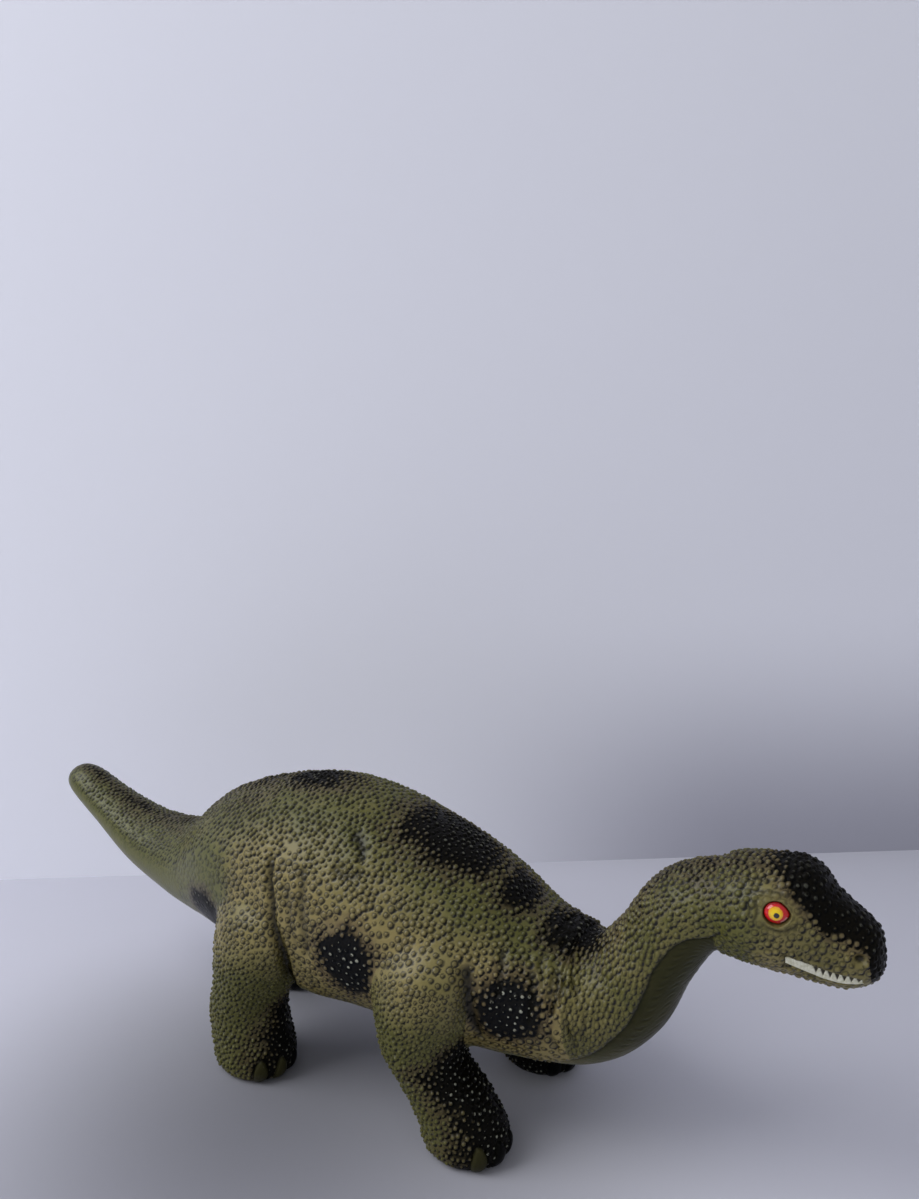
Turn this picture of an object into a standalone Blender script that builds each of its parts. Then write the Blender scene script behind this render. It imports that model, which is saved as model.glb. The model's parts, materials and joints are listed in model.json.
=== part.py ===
"""A stuffed soft-vinyl sauropod, about half a metre long, with a push-button sound unit in its belly.

The vinyl skin is modelled as one shell for each region of the animal: torso, tail, neck, head and four
legs. Each shell is packed with fibre filling. The sound unit is clamped through the belly skin, between
a cover outside and a case inside, by four screws. Its push button slides up into the cover against a
coil spring and carries a contact pad to the circuit board.

Units are metres. +X runs towards the head, +Y to the animal's left, +Z up. The feet stand on Z = 0, and
at the end everything is shifted in X and Y so that the origin is the middle of the whole toy's plan.
"""

import math

import bmesh
import bpy
from mathutils import Matrix, Vector

MM = 0.001

# Clearances and shared values
GAP = 0.3 * MM
FILLING_GAP = 0.6 * MM
OVERRUN = 5 * MM
SKIN_WALL = 2.2 * MM
RING_SEGMENTS = 20
LIMB_SEGMENTS = 18
FILLING_SEGMENTS = 12
TURNED_SEGMENTS = 24
SMALL_TURNED_SEGMENTS = 12
FINE_STEPS = 2
COARSE_STEPS = 1
SHARP_ANGLE = math.radians(40)
LEAST_SIZE = 1 * MM

# Torso: from the root of the tail to the root of the neck
TORSO_LENGTH = 262 * MM
TORSO_WIDTH = 124 * MM
BACK_HEIGHT = 168 * MM
TORSO_DEPTH_SHARE = 0.7857
TORSO_DEPTH = TORSO_DEPTH_SHARE * BACK_HEIGHT
TAIL_ROOT_X = -150 * MM
# Columns: along the length, centre height, half width, reach up and reach down
TORSO_SHARES = (
    (0.14, 0.625, 0.79, 0.77, 0.75),
    (0.27, 0.637, 0.91, 0.92, 0.86),
    (0.42, 0.634, 0.97, 0.98, 0.90),
    (0.58, 0.595, 0.97, 0.90, 0.87),
    (0.74, 0.539, 0.88, 0.78, 0.79),
    (0.88, 0.491, 0.74, 0.57, 0.66),
)

# Tail: from its root to the rounded tip
TAIL_LENGTH = 136 * MM
TAIL_ROOT_WIDTH = 72 * MM
TAIL_ROOT_DEPTH = 64 * MM
TAIL_ROOT_HEIGHT_SHARE = 0.5774
TAIL_ROOT_HEIGHT = TAIL_ROOT_HEIGHT_SHARE * BACK_HEIGHT
TAIL_RISE = 39 * MM
# Columns: back from the root, rise, half width, reach up and reach down
TAIL_SHARES = (
    (1.000, 1.00, 0.09, 0.09, 0.09),
    (0.970, 0.97, 0.25, 0.27, 0.27),
    (0.890, 0.88, 0.36, 0.39, 0.36),
    (0.690, 0.53, 0.47, 0.44, 0.43),
    (0.440, 0.16, 0.63, 0.59, 0.60),
    (0.190, 0.00, 0.80, 0.77, 0.80),
)

# Neck: from its root up and forward into the skull
NECK_REACH = 75 * MM
NECK_RISE = 67 * MM
NECK_ROOT_WIDTH = 76 * MM
NECK_ROOT_DEPTH = 70 * MM
NECK_ROOT_X = TAIL_ROOT_X + TORSO_LENGTH
NECK_ROOT_HEIGHT_SHARE = 0.4702
NECK_ROOT_HEIGHT = NECK_ROOT_HEIGHT_SHARE * BACK_HEIGHT
NECK_WIDTH = 46 * MM
NECK_DEPTH = 48 * MM
# Columns: forward, rise, half width, reach up and reach down
NECK_SHARES = (
    (0.28, 0.15, 1.27, 1.22, 1.12),
    (0.50, 0.50, 1.04, 1.02, 0.86),
    (0.71, 0.86, 0.96, 1.00, 0.86),
    (1.00, 1.04, 0.88, 0.88, 0.86),
)

# Head: a loft of its own, with the neck running into its back
HEAD_LENGTH = 81 * MM
HEAD_WIDTH = 53 * MM
HEAD_DEPTH = 51 * MM
HEAD_BACK_SHARE = 0.7933
HEAD_BACK_X = NECK_ROOT_X + HEAD_BACK_SHARE * NECK_REACH
HEAD_RISE_SHARE = 1.03
HEAD_HEIGHT = NECK_ROOT_HEIGHT + HEAD_RISE_SHARE * NECK_RISE
SNOUT_DROP = 13 * MM
# Columns: along the length, drop, half width, reach up, reach down and how square the section is
HEAD_SHARES = (
    (0.000, 0.00, 0.28, 0.30, 0.34, 2.0),
    (0.050, 0.00, 0.64, 0.64, 0.77, 2.0),
    (0.150, 0.00, 0.88, 0.88, 1.00, 2.1),
    (0.300, 0.03, 1.00, 1.00, 1.00, 2.2),
    (0.450, 0.12, 0.99, 1.09, 0.97, 2.3),
    (0.570, 0.26, 0.89, 1.19, 0.93, 2.3),
    (0.655, 0.42, 0.78, 1.14, 0.89, 2.3),
    (0.730, 0.54, 0.70, 0.89, 0.86, 2.3),
    (0.820, 0.68, 0.62, 0.74, 0.78, 2.3),
    (0.910, 0.82, 0.52, 0.62, 0.60, 2.2),
    (0.968, 0.90, 0.39, 0.47, 0.42, 2.1),
    (1.000, 1.00, 0.16, 0.20, 0.18, 2.0),
)
EYE_SHARE = 0.457
EYE_X = HEAD_BACK_X + EYE_SHARE * HEAD_LENGTH
EYE_RISE_SHARE = 0.173
EYE_HEIGHT = HEAD_HEIGHT + EYE_RISE_SHARE * HEAD_DEPTH
EYE_LENGTH = 12 * MM
EYE_OPENING = 10.2 * MM
EYE_DOME_DEPTH = 6.4 * MM
EYE_PROUD = 1.6 * MM
EYE_SHANK_RADIUS = 2.4 * MM
EYE_SHANK_LENGTH = 8 * MM
EYE_DOME_ANGLES = (18, 45, 68)
EYE_SEGMENTS = 12
EYE_TOE_IN = math.radians(14)
EYE_ROLL = math.radians(-18)
NOSTRIL_SHARE = 0.883
NOSTRIL_X = HEAD_BACK_X + NOSTRIL_SHARE * HEAD_LENGTH
NOSTRIL_DROP_SHARE = 0.1
NOSTRIL_HEIGHT = HEAD_HEIGHT - NOSTRIL_DROP_SHARE * HEAD_DEPTH
NOSTRIL_RADIUS = 1.7 * MM
NOSTRIL_DEPTH = 1.2 * MM
NOSTRIL_SEGMENTS = 8
NOSTRIL_RINGS = 4
MOUTH_CORNER_SHARE = 0.528
MOUTH_CORNER_X = HEAD_BACK_X + MOUTH_CORNER_SHARE * HEAD_LENGTH
MOUTH_DROP_SHARE = 0.27
MOUTH_HEIGHT = HEAD_HEIGHT - MOUTH_DROP_SHARE * HEAD_DEPTH
MOUTH_SLOPE = math.radians(17)
MOUTH_OPENING = 2.6 * MM
MOUTH_DEPTH = 0.9 * MM

# Legs: horizontal sections from the sole to the top, which ends inside the torso
FRONT_LEG_HEIGHT_SHARE = 0.6667
FRONT_LEG_HEIGHT = FRONT_LEG_HEIGHT_SHARE * BACK_HEIGHT
FRONT_LEG_LENGTH = 62 * MM
FRONT_LEG_WIDTH = 54 * MM
FRONT_TRACK_SHARE = 0.71
FRONT_TRACK = FRONT_TRACK_SHARE * TORSO_WIDTH
FRONT_FOOT_SHARE = 0.8073
FRONT_FOOT_X = TAIL_ROOT_X + FRONT_FOOT_SHARE * TORSO_LENGTH
FRONT_LEAN = 26 * MM
LEFT_FRONT_STRIDE = 4 * MM
# Columns: up the leg, lean back, half length, half width and move outward
FRONT_LEG_SHARES = (
    (0.000, 0.00, 0.60, 0.60, 0.00),
    (0.050, 0.00, 0.76, 0.72, 0.00),
    (0.140, 0.05, 0.80, 0.74, 0.00),
    (0.300, 0.45, 0.78, 0.74, 0.02),
    (0.400, 0.82, 0.72, 0.77, 0.03),
    (0.500, 1.00, 0.72, 0.82, 0.03),
    (0.700, 0.94, 0.90, 0.94, 0.01),
    (0.880, 0.90, 0.94, 0.90, -0.08),
    (1.000, 0.88, 0.68, 0.60, -0.16),
)
HIND_LEG_HEIGHT_SHARE = 0.6905
HIND_LEG_HEIGHT = HIND_LEG_HEIGHT_SHARE * BACK_HEIGHT
HIND_LEG_LENGTH = 70 * MM
HIND_LEG_WIDTH = 56 * MM
HIND_TRACK_SHARE = 0.694
HIND_TRACK = HIND_TRACK_SHARE * TORSO_WIDTH
HIND_FOOT_SHARE = 0.2557
HIND_FOOT_X = TAIL_ROOT_X + HIND_FOOT_SHARE * TORSO_LENGTH
HIND_LEAN = -14 * MM
LEFT_HIND_STRIDE = -45 * MM
HIND_LEG_SHARES = (
    (0.000, 0.00, 0.56, 0.60, 0.00),
    (0.050, 0.02, 0.72, 0.70, 0.00),
    (0.140, 0.00, 0.76, 0.72, 0.00),
    (0.300, -0.15, 0.71, 0.72, 0.02),
    (0.400, -0.05, 0.65, 0.78, 0.03),
    (0.500, 0.25, 0.69, 0.84, 0.03),
    (0.700, 0.80, 0.88, 0.96, 0.01),
    (0.880, 1.00, 0.94, 0.92, -0.08),
    (1.000, 1.10, 0.68, 0.62, -0.16),
)
TOE_RADIUS = 6 * MM
TOE_HALF_WIDTH = 4.8 * MM
TOE_SEGMENTS = 8
TOE_RINGS = 5
TOE_LENGTH = 14 * MM
TOE_ANGLES = (math.radians(-52), 0, math.radians(52))
TOE_SET_IN = 5 * MM
TOE_TILT = math.radians(24)
SOLE_CUT = 0.5 * MM

# Belly land: the flat plate moulded into the skin for the sound unit, at the bottom of a round recess
SOUND_SHARE = 0.5115
SOUND_X = TAIL_ROOT_X + SOUND_SHARE * TORSO_LENGTH
BELLY_SHARE = 0.25
LAND_SINK = 8 * MM
LAND_HEIGHT = BELLY_SHARE * BACK_HEIGHT + LAND_SINK
LAND_THICKNESS = 2.5 * MM
LAND_HOLE_RADIUS = 15.8 * MM
LAND_RECESS_RADIUS = 22.8 * MM
LAND_RECESS_REACH = 16 * MM
LAND_RADIUS = LAND_RECESS_RADIUS + SKIN_WALL

# Sound unit
COVER_RADIUS = 22 * MM
COVER_THICKNESS = 2 * MM
COVER_EDGE_ROUND = 0.6 * MM
BUTTON_RADIUS = 6 * MM
BUTTON_CLEARANCE = 0.35 * MM
BUTTON_PROUD = 2.2 * MM
BUTTON_EDGE_ROUND = 0.6 * MM
BUTTON_RIM_RADIUS = 7.6 * MM
BUTTON_RIM_THICKNESS = 1 * MM
BUTTON_STEM_RADIUS = 2 * MM
BUTTON_TRAVEL = 2 * MM
PAD_THICKNESS = 1 * MM
PAD_RADIUS = 1.8 * MM
SKIRT_WALL = 1.4 * MM
VENT_COUNT = 12
VENT_RADIUS = 0.9 * MM
VENT_SEGMENTS = 8
VENT_CIRCLE_RADIUS = 10.2 * MM
CASE_BORE_RADIUS = 15 * MM
CASE_UPPER_BORE_RADIUS = 14 * MM
CASE_WALL = 1.5 * MM
CASE_FLANGE_THICKNESS = 1.6 * MM
BOARD_STANDOFF = 8 * MM
BOARD_THICKNESS = 1.2 * MM
BOARD_CLEARANCE = 0.4 * MM
CHIP_RADIUS = 2.6 * MM
CHIP_HEIGHT = 1.2 * MM
CHIP_OFFSET = 9.5 * MM
SCREW_COUNT = 4
SCREW_CIRCLE_RADIUS = 18.8 * MM
SCREW_RADIUS = 1 * MM
SCREW_HEAD_RADIUS = 1.9 * MM
SCREW_HEAD_HEIGHT = 1.2 * MM
SCREW_CLEARANCE = 0.25 * MM
THREAD_CLEARANCE = 0.1 * MM
SCREW_SLOT_LENGTH = 2.5 * MM
SCREW_SLOT_WIDTH = 0.5 * MM
SCREW_SLOT_DEPTH = 0.5 * MM
BOSS_RADIUS = 2.6 * MM
BOSS_HEIGHT = 6 * MM
CELL_COUNT = 3
CELL_RADIUS = 5.8 * MM
CELL_HEIGHT = 5.4 * MM
CELL_NUB_RADIUS = 4.4 * MM
CELL_NUB_HEIGHT = 0.3 * MM
CELL_CIRCLE_RADIUS = 7.1 * MM
CELL_CLEARANCE = 0.3 * MM
FIRST_CELL_ANGLE = math.pi / 2
STRAP_THICKNESS = 0.3 * MM
STRAP_WIDTH = 4 * MM
STRAP_HUB_RADIUS = 4 * MM
SPEAKER_RADIUS = 13.5 * MM
MAGNET_RADIUS = 7 * MM
MAGNET_HEIGHT = 3.2 * MM
BASKET_HEIGHT = 3.4 * MM
BASKET_WALL = 0.8 * MM
CONE_THICKNESS = 0.4 * MM
CONE_DEPTH = 1.4 * MM
GRILLE_HOLE_RADIUS = 1 * MM
GRILLE_HOLE_COUNT = 8
GRILLE_CIRCLE_RADIUS = 8 * MM
SPRING_WIRE_RADIUS = 0.25 * MM
SPRING_RADIUS = 3.2 * MM
SPRING_TURNS = 5
SPRING_POINTS_PER_TURN = 10
LEAD_COUNT = 2
LEAD_RADIUS = 0.5 * MM
LEAD_CIRCLE_RADIUS = 10.5 * MM

# Heights in the sound unit, up from the land's underside
COVER_TOP = LAND_HEIGHT - GAP
COVER_BOTTOM = COVER_TOP - COVER_THICKNESS
BOARD_BOTTOM = LAND_HEIGHT + BOARD_STANDOFF
BOARD_TOP = BOARD_BOTTOM + BOARD_THICKNESS
CASE_FOOT = LAND_HEIGHT + LAND_THICKNESS + GAP
CASE_STEP = BOARD_TOP + GAP
TRAY_BOTTOM = CASE_STEP
TRAY_TOP = TRAY_BOTTOM + CELL_HEIGHT
STRAP_BOTTOM = TRAY_TOP + CELL_NUB_HEIGHT + GAP
MAGNET_BOTTOM = STRAP_BOTTOM + STRAP_THICKNESS + GAP
BASKET_BOTTOM = MAGNET_BOTTOM + MAGNET_HEIGHT + GAP
BASKET_TOP = BASKET_BOTTOM + BASKET_HEIGHT
CASE_CEILING = BASKET_TOP + GAP
CASE_TOP = CASE_CEILING + CASE_WALL
SPRING_BOTTOM = COVER_TOP + GAP + BUTTON_RIM_THICKNESS + GAP

# Finishes: colour, roughness and metallic value
FINISHES = {
    "olive_vinyl": ((0.145, 0.135, 0.055), 0.50, 0.0),
    "fibre": ((0.86, 0.86, 0.84), 0.95, 0.0),
    "eye_plastic": ((0.62, 0.02, 0.03), 0.12, 0.0),
    "black_plastic": ((0.03, 0.03, 0.03), 0.45, 0.0),
    "red_plastic": ((0.45, 0.03, 0.02), 0.40, 0.0),
    "conductive_rubber": ((0.04, 0.04, 0.04), 0.85, 0.0),
    "steel": ((0.55, 0.55, 0.56), 0.30, 1.0),
    "board": ((0.03, 0.16, 0.06), 0.50, 0.0),
    "brass": ((0.70, 0.52, 0.20), 0.35, 1.0),
    "paper_cone": ((0.05, 0.05, 0.05), 0.80, 0.0),
}


def clear_scene():
    """Removes the objects that Blender starts with."""
    for found in list(bpy.data.objects):
        bpy.data.objects.remove(found)


def material(name):
    """The named finish as a Principled material, made once."""
    found = bpy.data.materials.get(name)
    if found:
        return found
    colour, roughness, metallic = FINISHES[name]
    made = bpy.data.materials.new(name)
    made.use_nodes = True
    shader = made.node_tree.nodes["Principled BSDF"]
    shader.inputs["Base Color"].default_value = (*colour, 1)
    shader.inputs["Roughness"].default_value = roughness
    shader.inputs["Metallic"].default_value = metallic
    made.diffuse_color = (*colour, 1)
    return made


def frame_empty(name, place=(0, 0, 0), parent=None):
    """The named empty that carries other objects, made once."""
    found = bpy.data.objects.get(name)
    if not found:
        found = bpy.data.objects.new(name, None)
        found.location = place
        found.parent = parent
        bpy.context.scene.collection.objects.link(found)
    return found


def new_object(name, bm, finish=None, origin=(0, 0, 0)):
    """An object from a bmesh in the toy's frame. Without a finish it is a cutter, which no render shows."""
    bm.transform(Matrix.Translation(-Vector(origin)))
    mesh = bpy.data.meshes.new(name)
    bm.to_mesh(mesh)
    bm.free()
    made = bpy.data.objects.new(name, mesh)
    made.location = origin
    made.parent = frame_empty("toy")
    bpy.context.scene.collection.objects.link(made)
    if finish:
        mesh.materials.append(material(finish))
        mesh.shade_smooth()
        mesh.set_sharp_from_angle(angle=SHARP_ANGLE)
    else:
        made.hide_render = True
        made.display_type = "WIRE"
    return made


def boolean(target, cutter, operation="DIFFERENCE"):
    """Adds an exact Boolean with another object."""
    modifier = target.modifiers.new(f"{operation.lower()} {cutter.name}", "BOOLEAN")
    modifier.operation = operation
    modifier.solver = "EXACT"
    modifier.object = cutter


class Section:
    """One oval section of a limb: its centre, how far it reaches each way, and the path's direction there."""

    def __init__(self, centre, width, up, down, power=2.0, tangent=(1, 0, 0)):
        self.centre = Vector(centre)
        self.width = width
        self.up = up
        self.down = down
        self.power = power
        self.tangent = Vector(tangent).normalized()

    def values(self):
        return (*self.centre, self.width, self.up, self.down, self.power)

    def grown(self, by):
        """The same section, larger by that much each way, or smaller where it is negative."""
        width, up, down = [max(size + by, LEAST_SIZE) for size in (self.width, self.up, self.down)]
        return Section(self.centre, width, up, down, self.power, self.tangent)

    def moved(self, by):
        """The same section, moved that far along the path."""
        centre = self.centre + self.tangent * by
        return Section(centre, self.width, self.up, self.down, self.power, self.tangent)


def smoothed(sections, steps):
    """More sections on a Catmull-Rom curve through the given ones, with that many steps to a span."""
    rows = [section.values() for section in sections]
    made = []
    for i, here in enumerate(rows):
        before = rows[max(i - 1, 0)]
        after = rows[min(i + 1, len(rows) - 1)]
        beyond = rows[min(i + 2, len(rows) - 1)]
        for step in range(steps if after is not here else 1):
            t = step / steps
            mixed, slopes = [], []
            for p, q, r, s in zip(before, here, after, beyond):
                a, b, c = r - p, 2 * p - 5 * q + 4 * r - s, 3 * q - p - 3 * r + s
                mixed.append(q + (a * t + b * t**2 + c * t**3) / 2)
                slopes.append(a + 2 * b * t + 3 * c * t**2)
            made.append(Section(mixed[:3], *mixed[3:], tangent=slopes[:3]))
    return made


def oval(centre, across, rise, section, segments):
    """A ring of points round a section, squarer as its power goes above 2."""
    points = []
    for i in range(segments):
        angle = 2 * math.pi * i / segments
        c, s = math.cos(angle), math.sin(angle)
        bend = 2 / section.power
        reach = section.up if s > 0 else section.down
        side = math.copysign(abs(c) ** bend, c) * section.width
        height = math.copysign(abs(s) ** bend, s) * reach
        points.append(centre + across * side + rise * height)
    return points


def spine_rings(sections, segments):
    """Rings across a path in the XZ plane, each square to the path."""
    across = Vector((0, 1, 0))
    return [oval(s.centre, across, s.tangent.cross(across), s, segments) for s in sections]


def upright_rings(sections, segments):
    """Rings across the X axis, all upright."""
    return [oval(s.centre, Vector((0, 1, 0)), Vector((0, 0, 1)), s, segments) for s in sections]


def level_rings(sections, segments):
    """Horizontal rings, for a leg built upwards. Up and down reach forward and back there."""
    return [oval(s.centre, Vector((1, 0, 0)), Vector((0, 1, 0)), s, segments) for s in sections]


def wall(bm, rows, outward=True):
    """Triangles between rows of corners. Nested walls split alike, so that one never crosses the other."""
    for low, high in zip(rows, rows[1:]):
        for j in range(len(low)):
            k = (j + 1) % len(low)
            for corners in ((low[j], low[k], high[k]), (low[j], high[k], high[j])):
                bm.faces.new(corners if outward else corners[::-1])


def corners_of(bm, rings):
    """A row of mesh corners for each ring of points."""
    return [[bm.verts.new(point) for point in ring] for ring in rings]


def solid_loft(name, rings, finish=None, origin=(0, 0, 0)):
    """One closed body skinned over the rings."""
    bm = bmesh.new()
    rows = corners_of(bm, rings)
    wall(bm, rows)
    bm.faces.new(reversed(rows[0]))
    bm.faces.new(rows[-1])
    return new_object(name, bm, finish, origin)


def shell(name, outer_rings, inner_rings, finish, origin, open_ends=(False, False)):
    """A body with a void. An open end has a flat rim between its two walls, and needs equal counts."""
    bm = bmesh.new()
    outer, inner = corners_of(bm, outer_rings), corners_of(bm, inner_rings)
    wall(bm, outer)
    wall(bm, inner, outward=False)
    for end, is_open in zip((0, -1), open_ends):
        rim, bore = outer[end], inner[end]
        if end == 0:
            rim, bore = rim[::-1], bore[::-1]
        if not is_open:
            bm.faces.new(rim)
            bm.faces.new(bore[::-1])
            continue
        for j in range(len(rim)):
            k = (j + 1) % len(rim)
            bm.faces.new((rim[j], rim[k], bore[k], bore[j]))
    return new_object(name, bm, finish, origin)


def turned(bm, profile, segments, centre):
    """Spins a closed outline of (radius, height) points round a vertical axis at centre."""
    x, y = centre
    rings = []
    for radius, height in profile:
        if radius == 0:
            rings.append([bm.verts.new((x, y, height))])
            continue
        ring = []
        for i in range(segments):
            angle = 2 * math.pi * i / segments
            ring.append(bm.verts.new((x + radius * math.cos(angle), y + radius * math.sin(angle), height)))
        rings.append(ring)
    for low, high in zip(rings, rings[1:] + rings[:1]):
        for i in range(segments):
            k = (i + 1) % segments
            corners = [low[i % len(low)], low[k % len(low)], high[k % len(high)], high[i % len(high)]]
            unique = list(dict.fromkeys(corners))
            if len(unique) > 2:
                bm.faces.new(unique)
    bmesh.ops.recalc_face_normals(bm, faces=bm.faces)


def turned_object(name, profile, finish=None, segments=TURNED_SEGMENTS, centre=(SOUND_X, 0)):
    """One turned body, with its origin on its axis."""
    bm = bmesh.new()
    turned(bm, profile, segments, centre)
    return new_object(name, bm, finish, (*centre, min(height for _, height in profile)))


def turned_cutters(name, profile, centres, segments=SMALL_TURNED_SEGMENTS):
    """The same turned outline at several places, in one cutter."""
    bm = bmesh.new()
    for centre in centres:
        turned(bm, profile, segments, centre)
    return new_object(name, bm)


def plug(radius, bottom, top):
    """The outline of a plain turned cylinder."""
    return ((0, bottom), (radius, bottom), (radius, top), (0, top))


def circle_places(count, radius, first=0.0):
    """Centres spaced evenly on a circle round the sound unit's axis."""
    angles = [first + 2 * math.pi * i / count for i in range(count)]
    return [(SOUND_X + radius * math.cos(a), radius * math.sin(a)) for a in angles]


def screw_places():
    """The centres of the four cover screws."""
    return circle_places(SCREW_COUNT, SCREW_CIRCLE_RADIUS, math.pi / SCREW_COUNT)


class Spine:
    """The path from the tail's tip to the neck's end, cut into tail, torso and neck."""

    def __init__(self, by=0.0, steps=FINE_STEPS):
        tail_root = Section(
            (TAIL_ROOT_X, 0, TAIL_ROOT_HEIGHT), TAIL_ROOT_WIDTH / 2, TAIL_ROOT_DEPTH / 2, TAIL_ROOT_DEPTH / 2
        )
        neck_root = Section(
            (NECK_ROOT_X, 0, NECK_ROOT_HEIGHT),
            NECK_ROOT_WIDTH / 2,
            NECK_ROOT_DEPTH / 2,
            NECK_ROOT_DEPTH / 2,
        )
        tail = [
            Section(
                (TAIL_ROOT_X - back * TAIL_LENGTH, 0, TAIL_ROOT_HEIGHT + rise * TAIL_RISE),
                width * TAIL_ROOT_WIDTH / 2,
                up * TAIL_ROOT_DEPTH / 2,
                down * TAIL_ROOT_DEPTH / 2,
            )
            for back, rise, width, up, down in TAIL_SHARES
        ]
        torso = [
            Section(
                (TAIL_ROOT_X + along * TORSO_LENGTH, 0, height * BACK_HEIGHT),
                width * TORSO_WIDTH / 2,
                up * TORSO_DEPTH / 2,
                down * TORSO_DEPTH / 2,
            )
            for along, height, width, up, down in TORSO_SHARES
        ]
        neck = [
            Section(
                neck_root.centre + Vector((forward * NECK_REACH, 0, rise * NECK_RISE)),
                width * NECK_WIDTH / 2,
                up * NECK_DEPTH / 2,
                down * NECK_DEPTH / 2,
            )
            for forward, rise, width, up, down in NECK_SHARES
        ]
        whole = smoothed([*tail, tail_root, *torso, neck_root, *neck], steps)
        grown = [section.grown(by) for section in whole]
        tail_end = len(tail) * steps
        torso_end = tail_end + (len(torso) + 1) * steps
        self.tail = self.cut(grown, 0, tail_end)
        self.torso = self.cut(grown, tail_end, torso_end)
        self.neck = self.cut(grown, torso_end, len(grown) - 1)

    @staticmethod
    def cut(sections, first, last):
        """The sections from first to last, each cut end drawn back by half the gap."""
        kept = sections[first : last + 1]
        if first > 0:
            kept[0] = kept[0].moved(GAP / 2)
        if last < len(sections) - 1:
            kept[-1] = kept[-1].moved(-GAP / 2)
        return kept


def head_sections(by=0.0, steps=COARSE_STEPS):
    """The head's sections from the back of the skull to the nose, larger or smaller by that much."""
    rows = [
        Section(
            (HEAD_BACK_X + along * HEAD_LENGTH, 0, HEAD_HEIGHT - drop * SNOUT_DROP),
            width * HEAD_WIDTH / 2,
            up * HEAD_DEPTH / 2,
            down * HEAD_DEPTH / 2,
            power,
        )
        for along, drop, width, up, down, power in HEAD_SHARES
    ]
    rows = [section.grown(by) for section in smoothed(rows, steps)]
    rows[0].centre.x -= by
    rows[-1].centre.x += by
    return rows


class Leg:
    """One leg, from its sole on the floor to its top inside the torso."""

    def __init__(self, name, shares, height, length, width, track, foot_x, lean, stride, side):
        self.name = name
        self.side = side
        self.height = height
        self.length = length
        self.width = width
        self.track = track
        self.foot = Vector((foot_x + stride, side * track / 2, 0))
        self.lean = lean
        self.stride = stride
        self.shares = shares

    def sections(self, by=0.0, steps=COARSE_STEPS, floor=0.0):
        """Horizontal sections up the leg, larger or smaller by that much, from the given floor up."""
        rows = []
        for up, lean, length, width, outward in self.shares:
            back = lean * self.lean + up * self.stride
            move = Vector((-back, self.side * outward * self.width, up * self.height))
            centre = self.foot + move
            half_width = width * self.width / 2
            rows.append(Section(centre, length * self.length / 2, half_width, half_width))
        rows = [section.grown(by) for section in smoothed(rows, steps)]
        rows[0].centre.z = floor
        return rows

    def rings(self, by=0.0, steps=COARSE_STEPS, floor=0.0, segments=LIMB_SEGMENTS):
        return level_rings(self.sections(by, steps, floor), segments)

    def toes(self):
        """The three toe bulges at the front of the foot, in one body for the cut."""
        bm = bmesh.new()
        foot = self.sections()[1]
        for angle in TOE_ANGLES:
            length, width = foot.width - TOE_SET_IN, foot.up - TOE_SET_IN
            outward = Vector((math.cos(angle) * length, math.sin(angle) * width, TOE_RADIUS))
            place = Matrix.Translation(self.foot + outward)
            turn = Matrix.Rotation(angle, 4, "Z") @ Matrix.Rotation(-TOE_TILT, 4, "Y")
            size = Matrix.Diagonal((TOE_RADIUS, TOE_HALF_WIDTH, TOE_LENGTH / 2, 1))
            bmesh.ops.create_uvsphere(
                bm, u_segments=TOE_SEGMENTS, v_segments=TOE_RINGS, radius=1, matrix=place @ turn @ size
            )
        return new_object(f"{self.name} toes", bm)


def make_legs():
    """The four legs' shapes, by name. The left feet stand a stride from the right ones, in mid-step."""
    legs = {}
    sides = ((-1, "right", 0, 0), (1, "left", LEFT_FRONT_STRIDE, LEFT_HIND_STRIDE))
    for side, word, front_stride, hind_stride in sides:
        legs[f"front_{word}_leg"] = Leg(
            f"front_{word}_leg",
            FRONT_LEG_SHARES,
            FRONT_LEG_HEIGHT,
            FRONT_LEG_LENGTH,
            FRONT_LEG_WIDTH,
            FRONT_TRACK,
            FRONT_FOOT_X,
            FRONT_LEAN,
            front_stride,
            side,
        )
        legs[f"hind_{word}_leg"] = Leg(
            f"hind_{word}_leg",
            HIND_LEG_SHARES,
            HIND_LEG_HEIGHT,
            HIND_LEG_LENGTH,
            HIND_LEG_WIDTH,
            HIND_TRACK,
            HIND_FOOT_X,
            HIND_LEAN,
            hind_stride,
            side,
        )
    return legs


def floor_cutter():
    """A slab under the floor, which cuts every sole flat."""
    bm = bmesh.new()
    reach = 4 * TORSO_LENGTH
    size = Matrix.Diagonal((reach, reach, TORSO_LENGTH, 1))
    bmesh.ops.create_cube(bm, size=1, matrix=Matrix.Translation((0, 0, -TORSO_LENGTH / 2)) @ size)
    return new_object("floor cutter", bm)


def build_leg_skins(legs, torso_envelope, floor):
    """Each leg's shell: a thick-walled sock with toes, cut off where it meets the torso."""
    for name, leg in legs.items():
        inner = leg.rings(by=-SKIN_WALL, floor=SKIN_WALL, segments=FILLING_SEGMENTS)
        skin = shell(f"{name}_skin", leg.rings(floor=-SOLE_CUT), inner, "olive_vinyl", leg.foot)
        toes = leg.toes()
        boolean(toes, solid_loft(f"{name} toe room", leg.rings(by=-SKIN_WALL / 2, floor=-OVERRUN)))
        boolean(skin, toes, "UNION")
        boolean(skin, torso_envelope)
        boolean(skin, floor)


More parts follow.
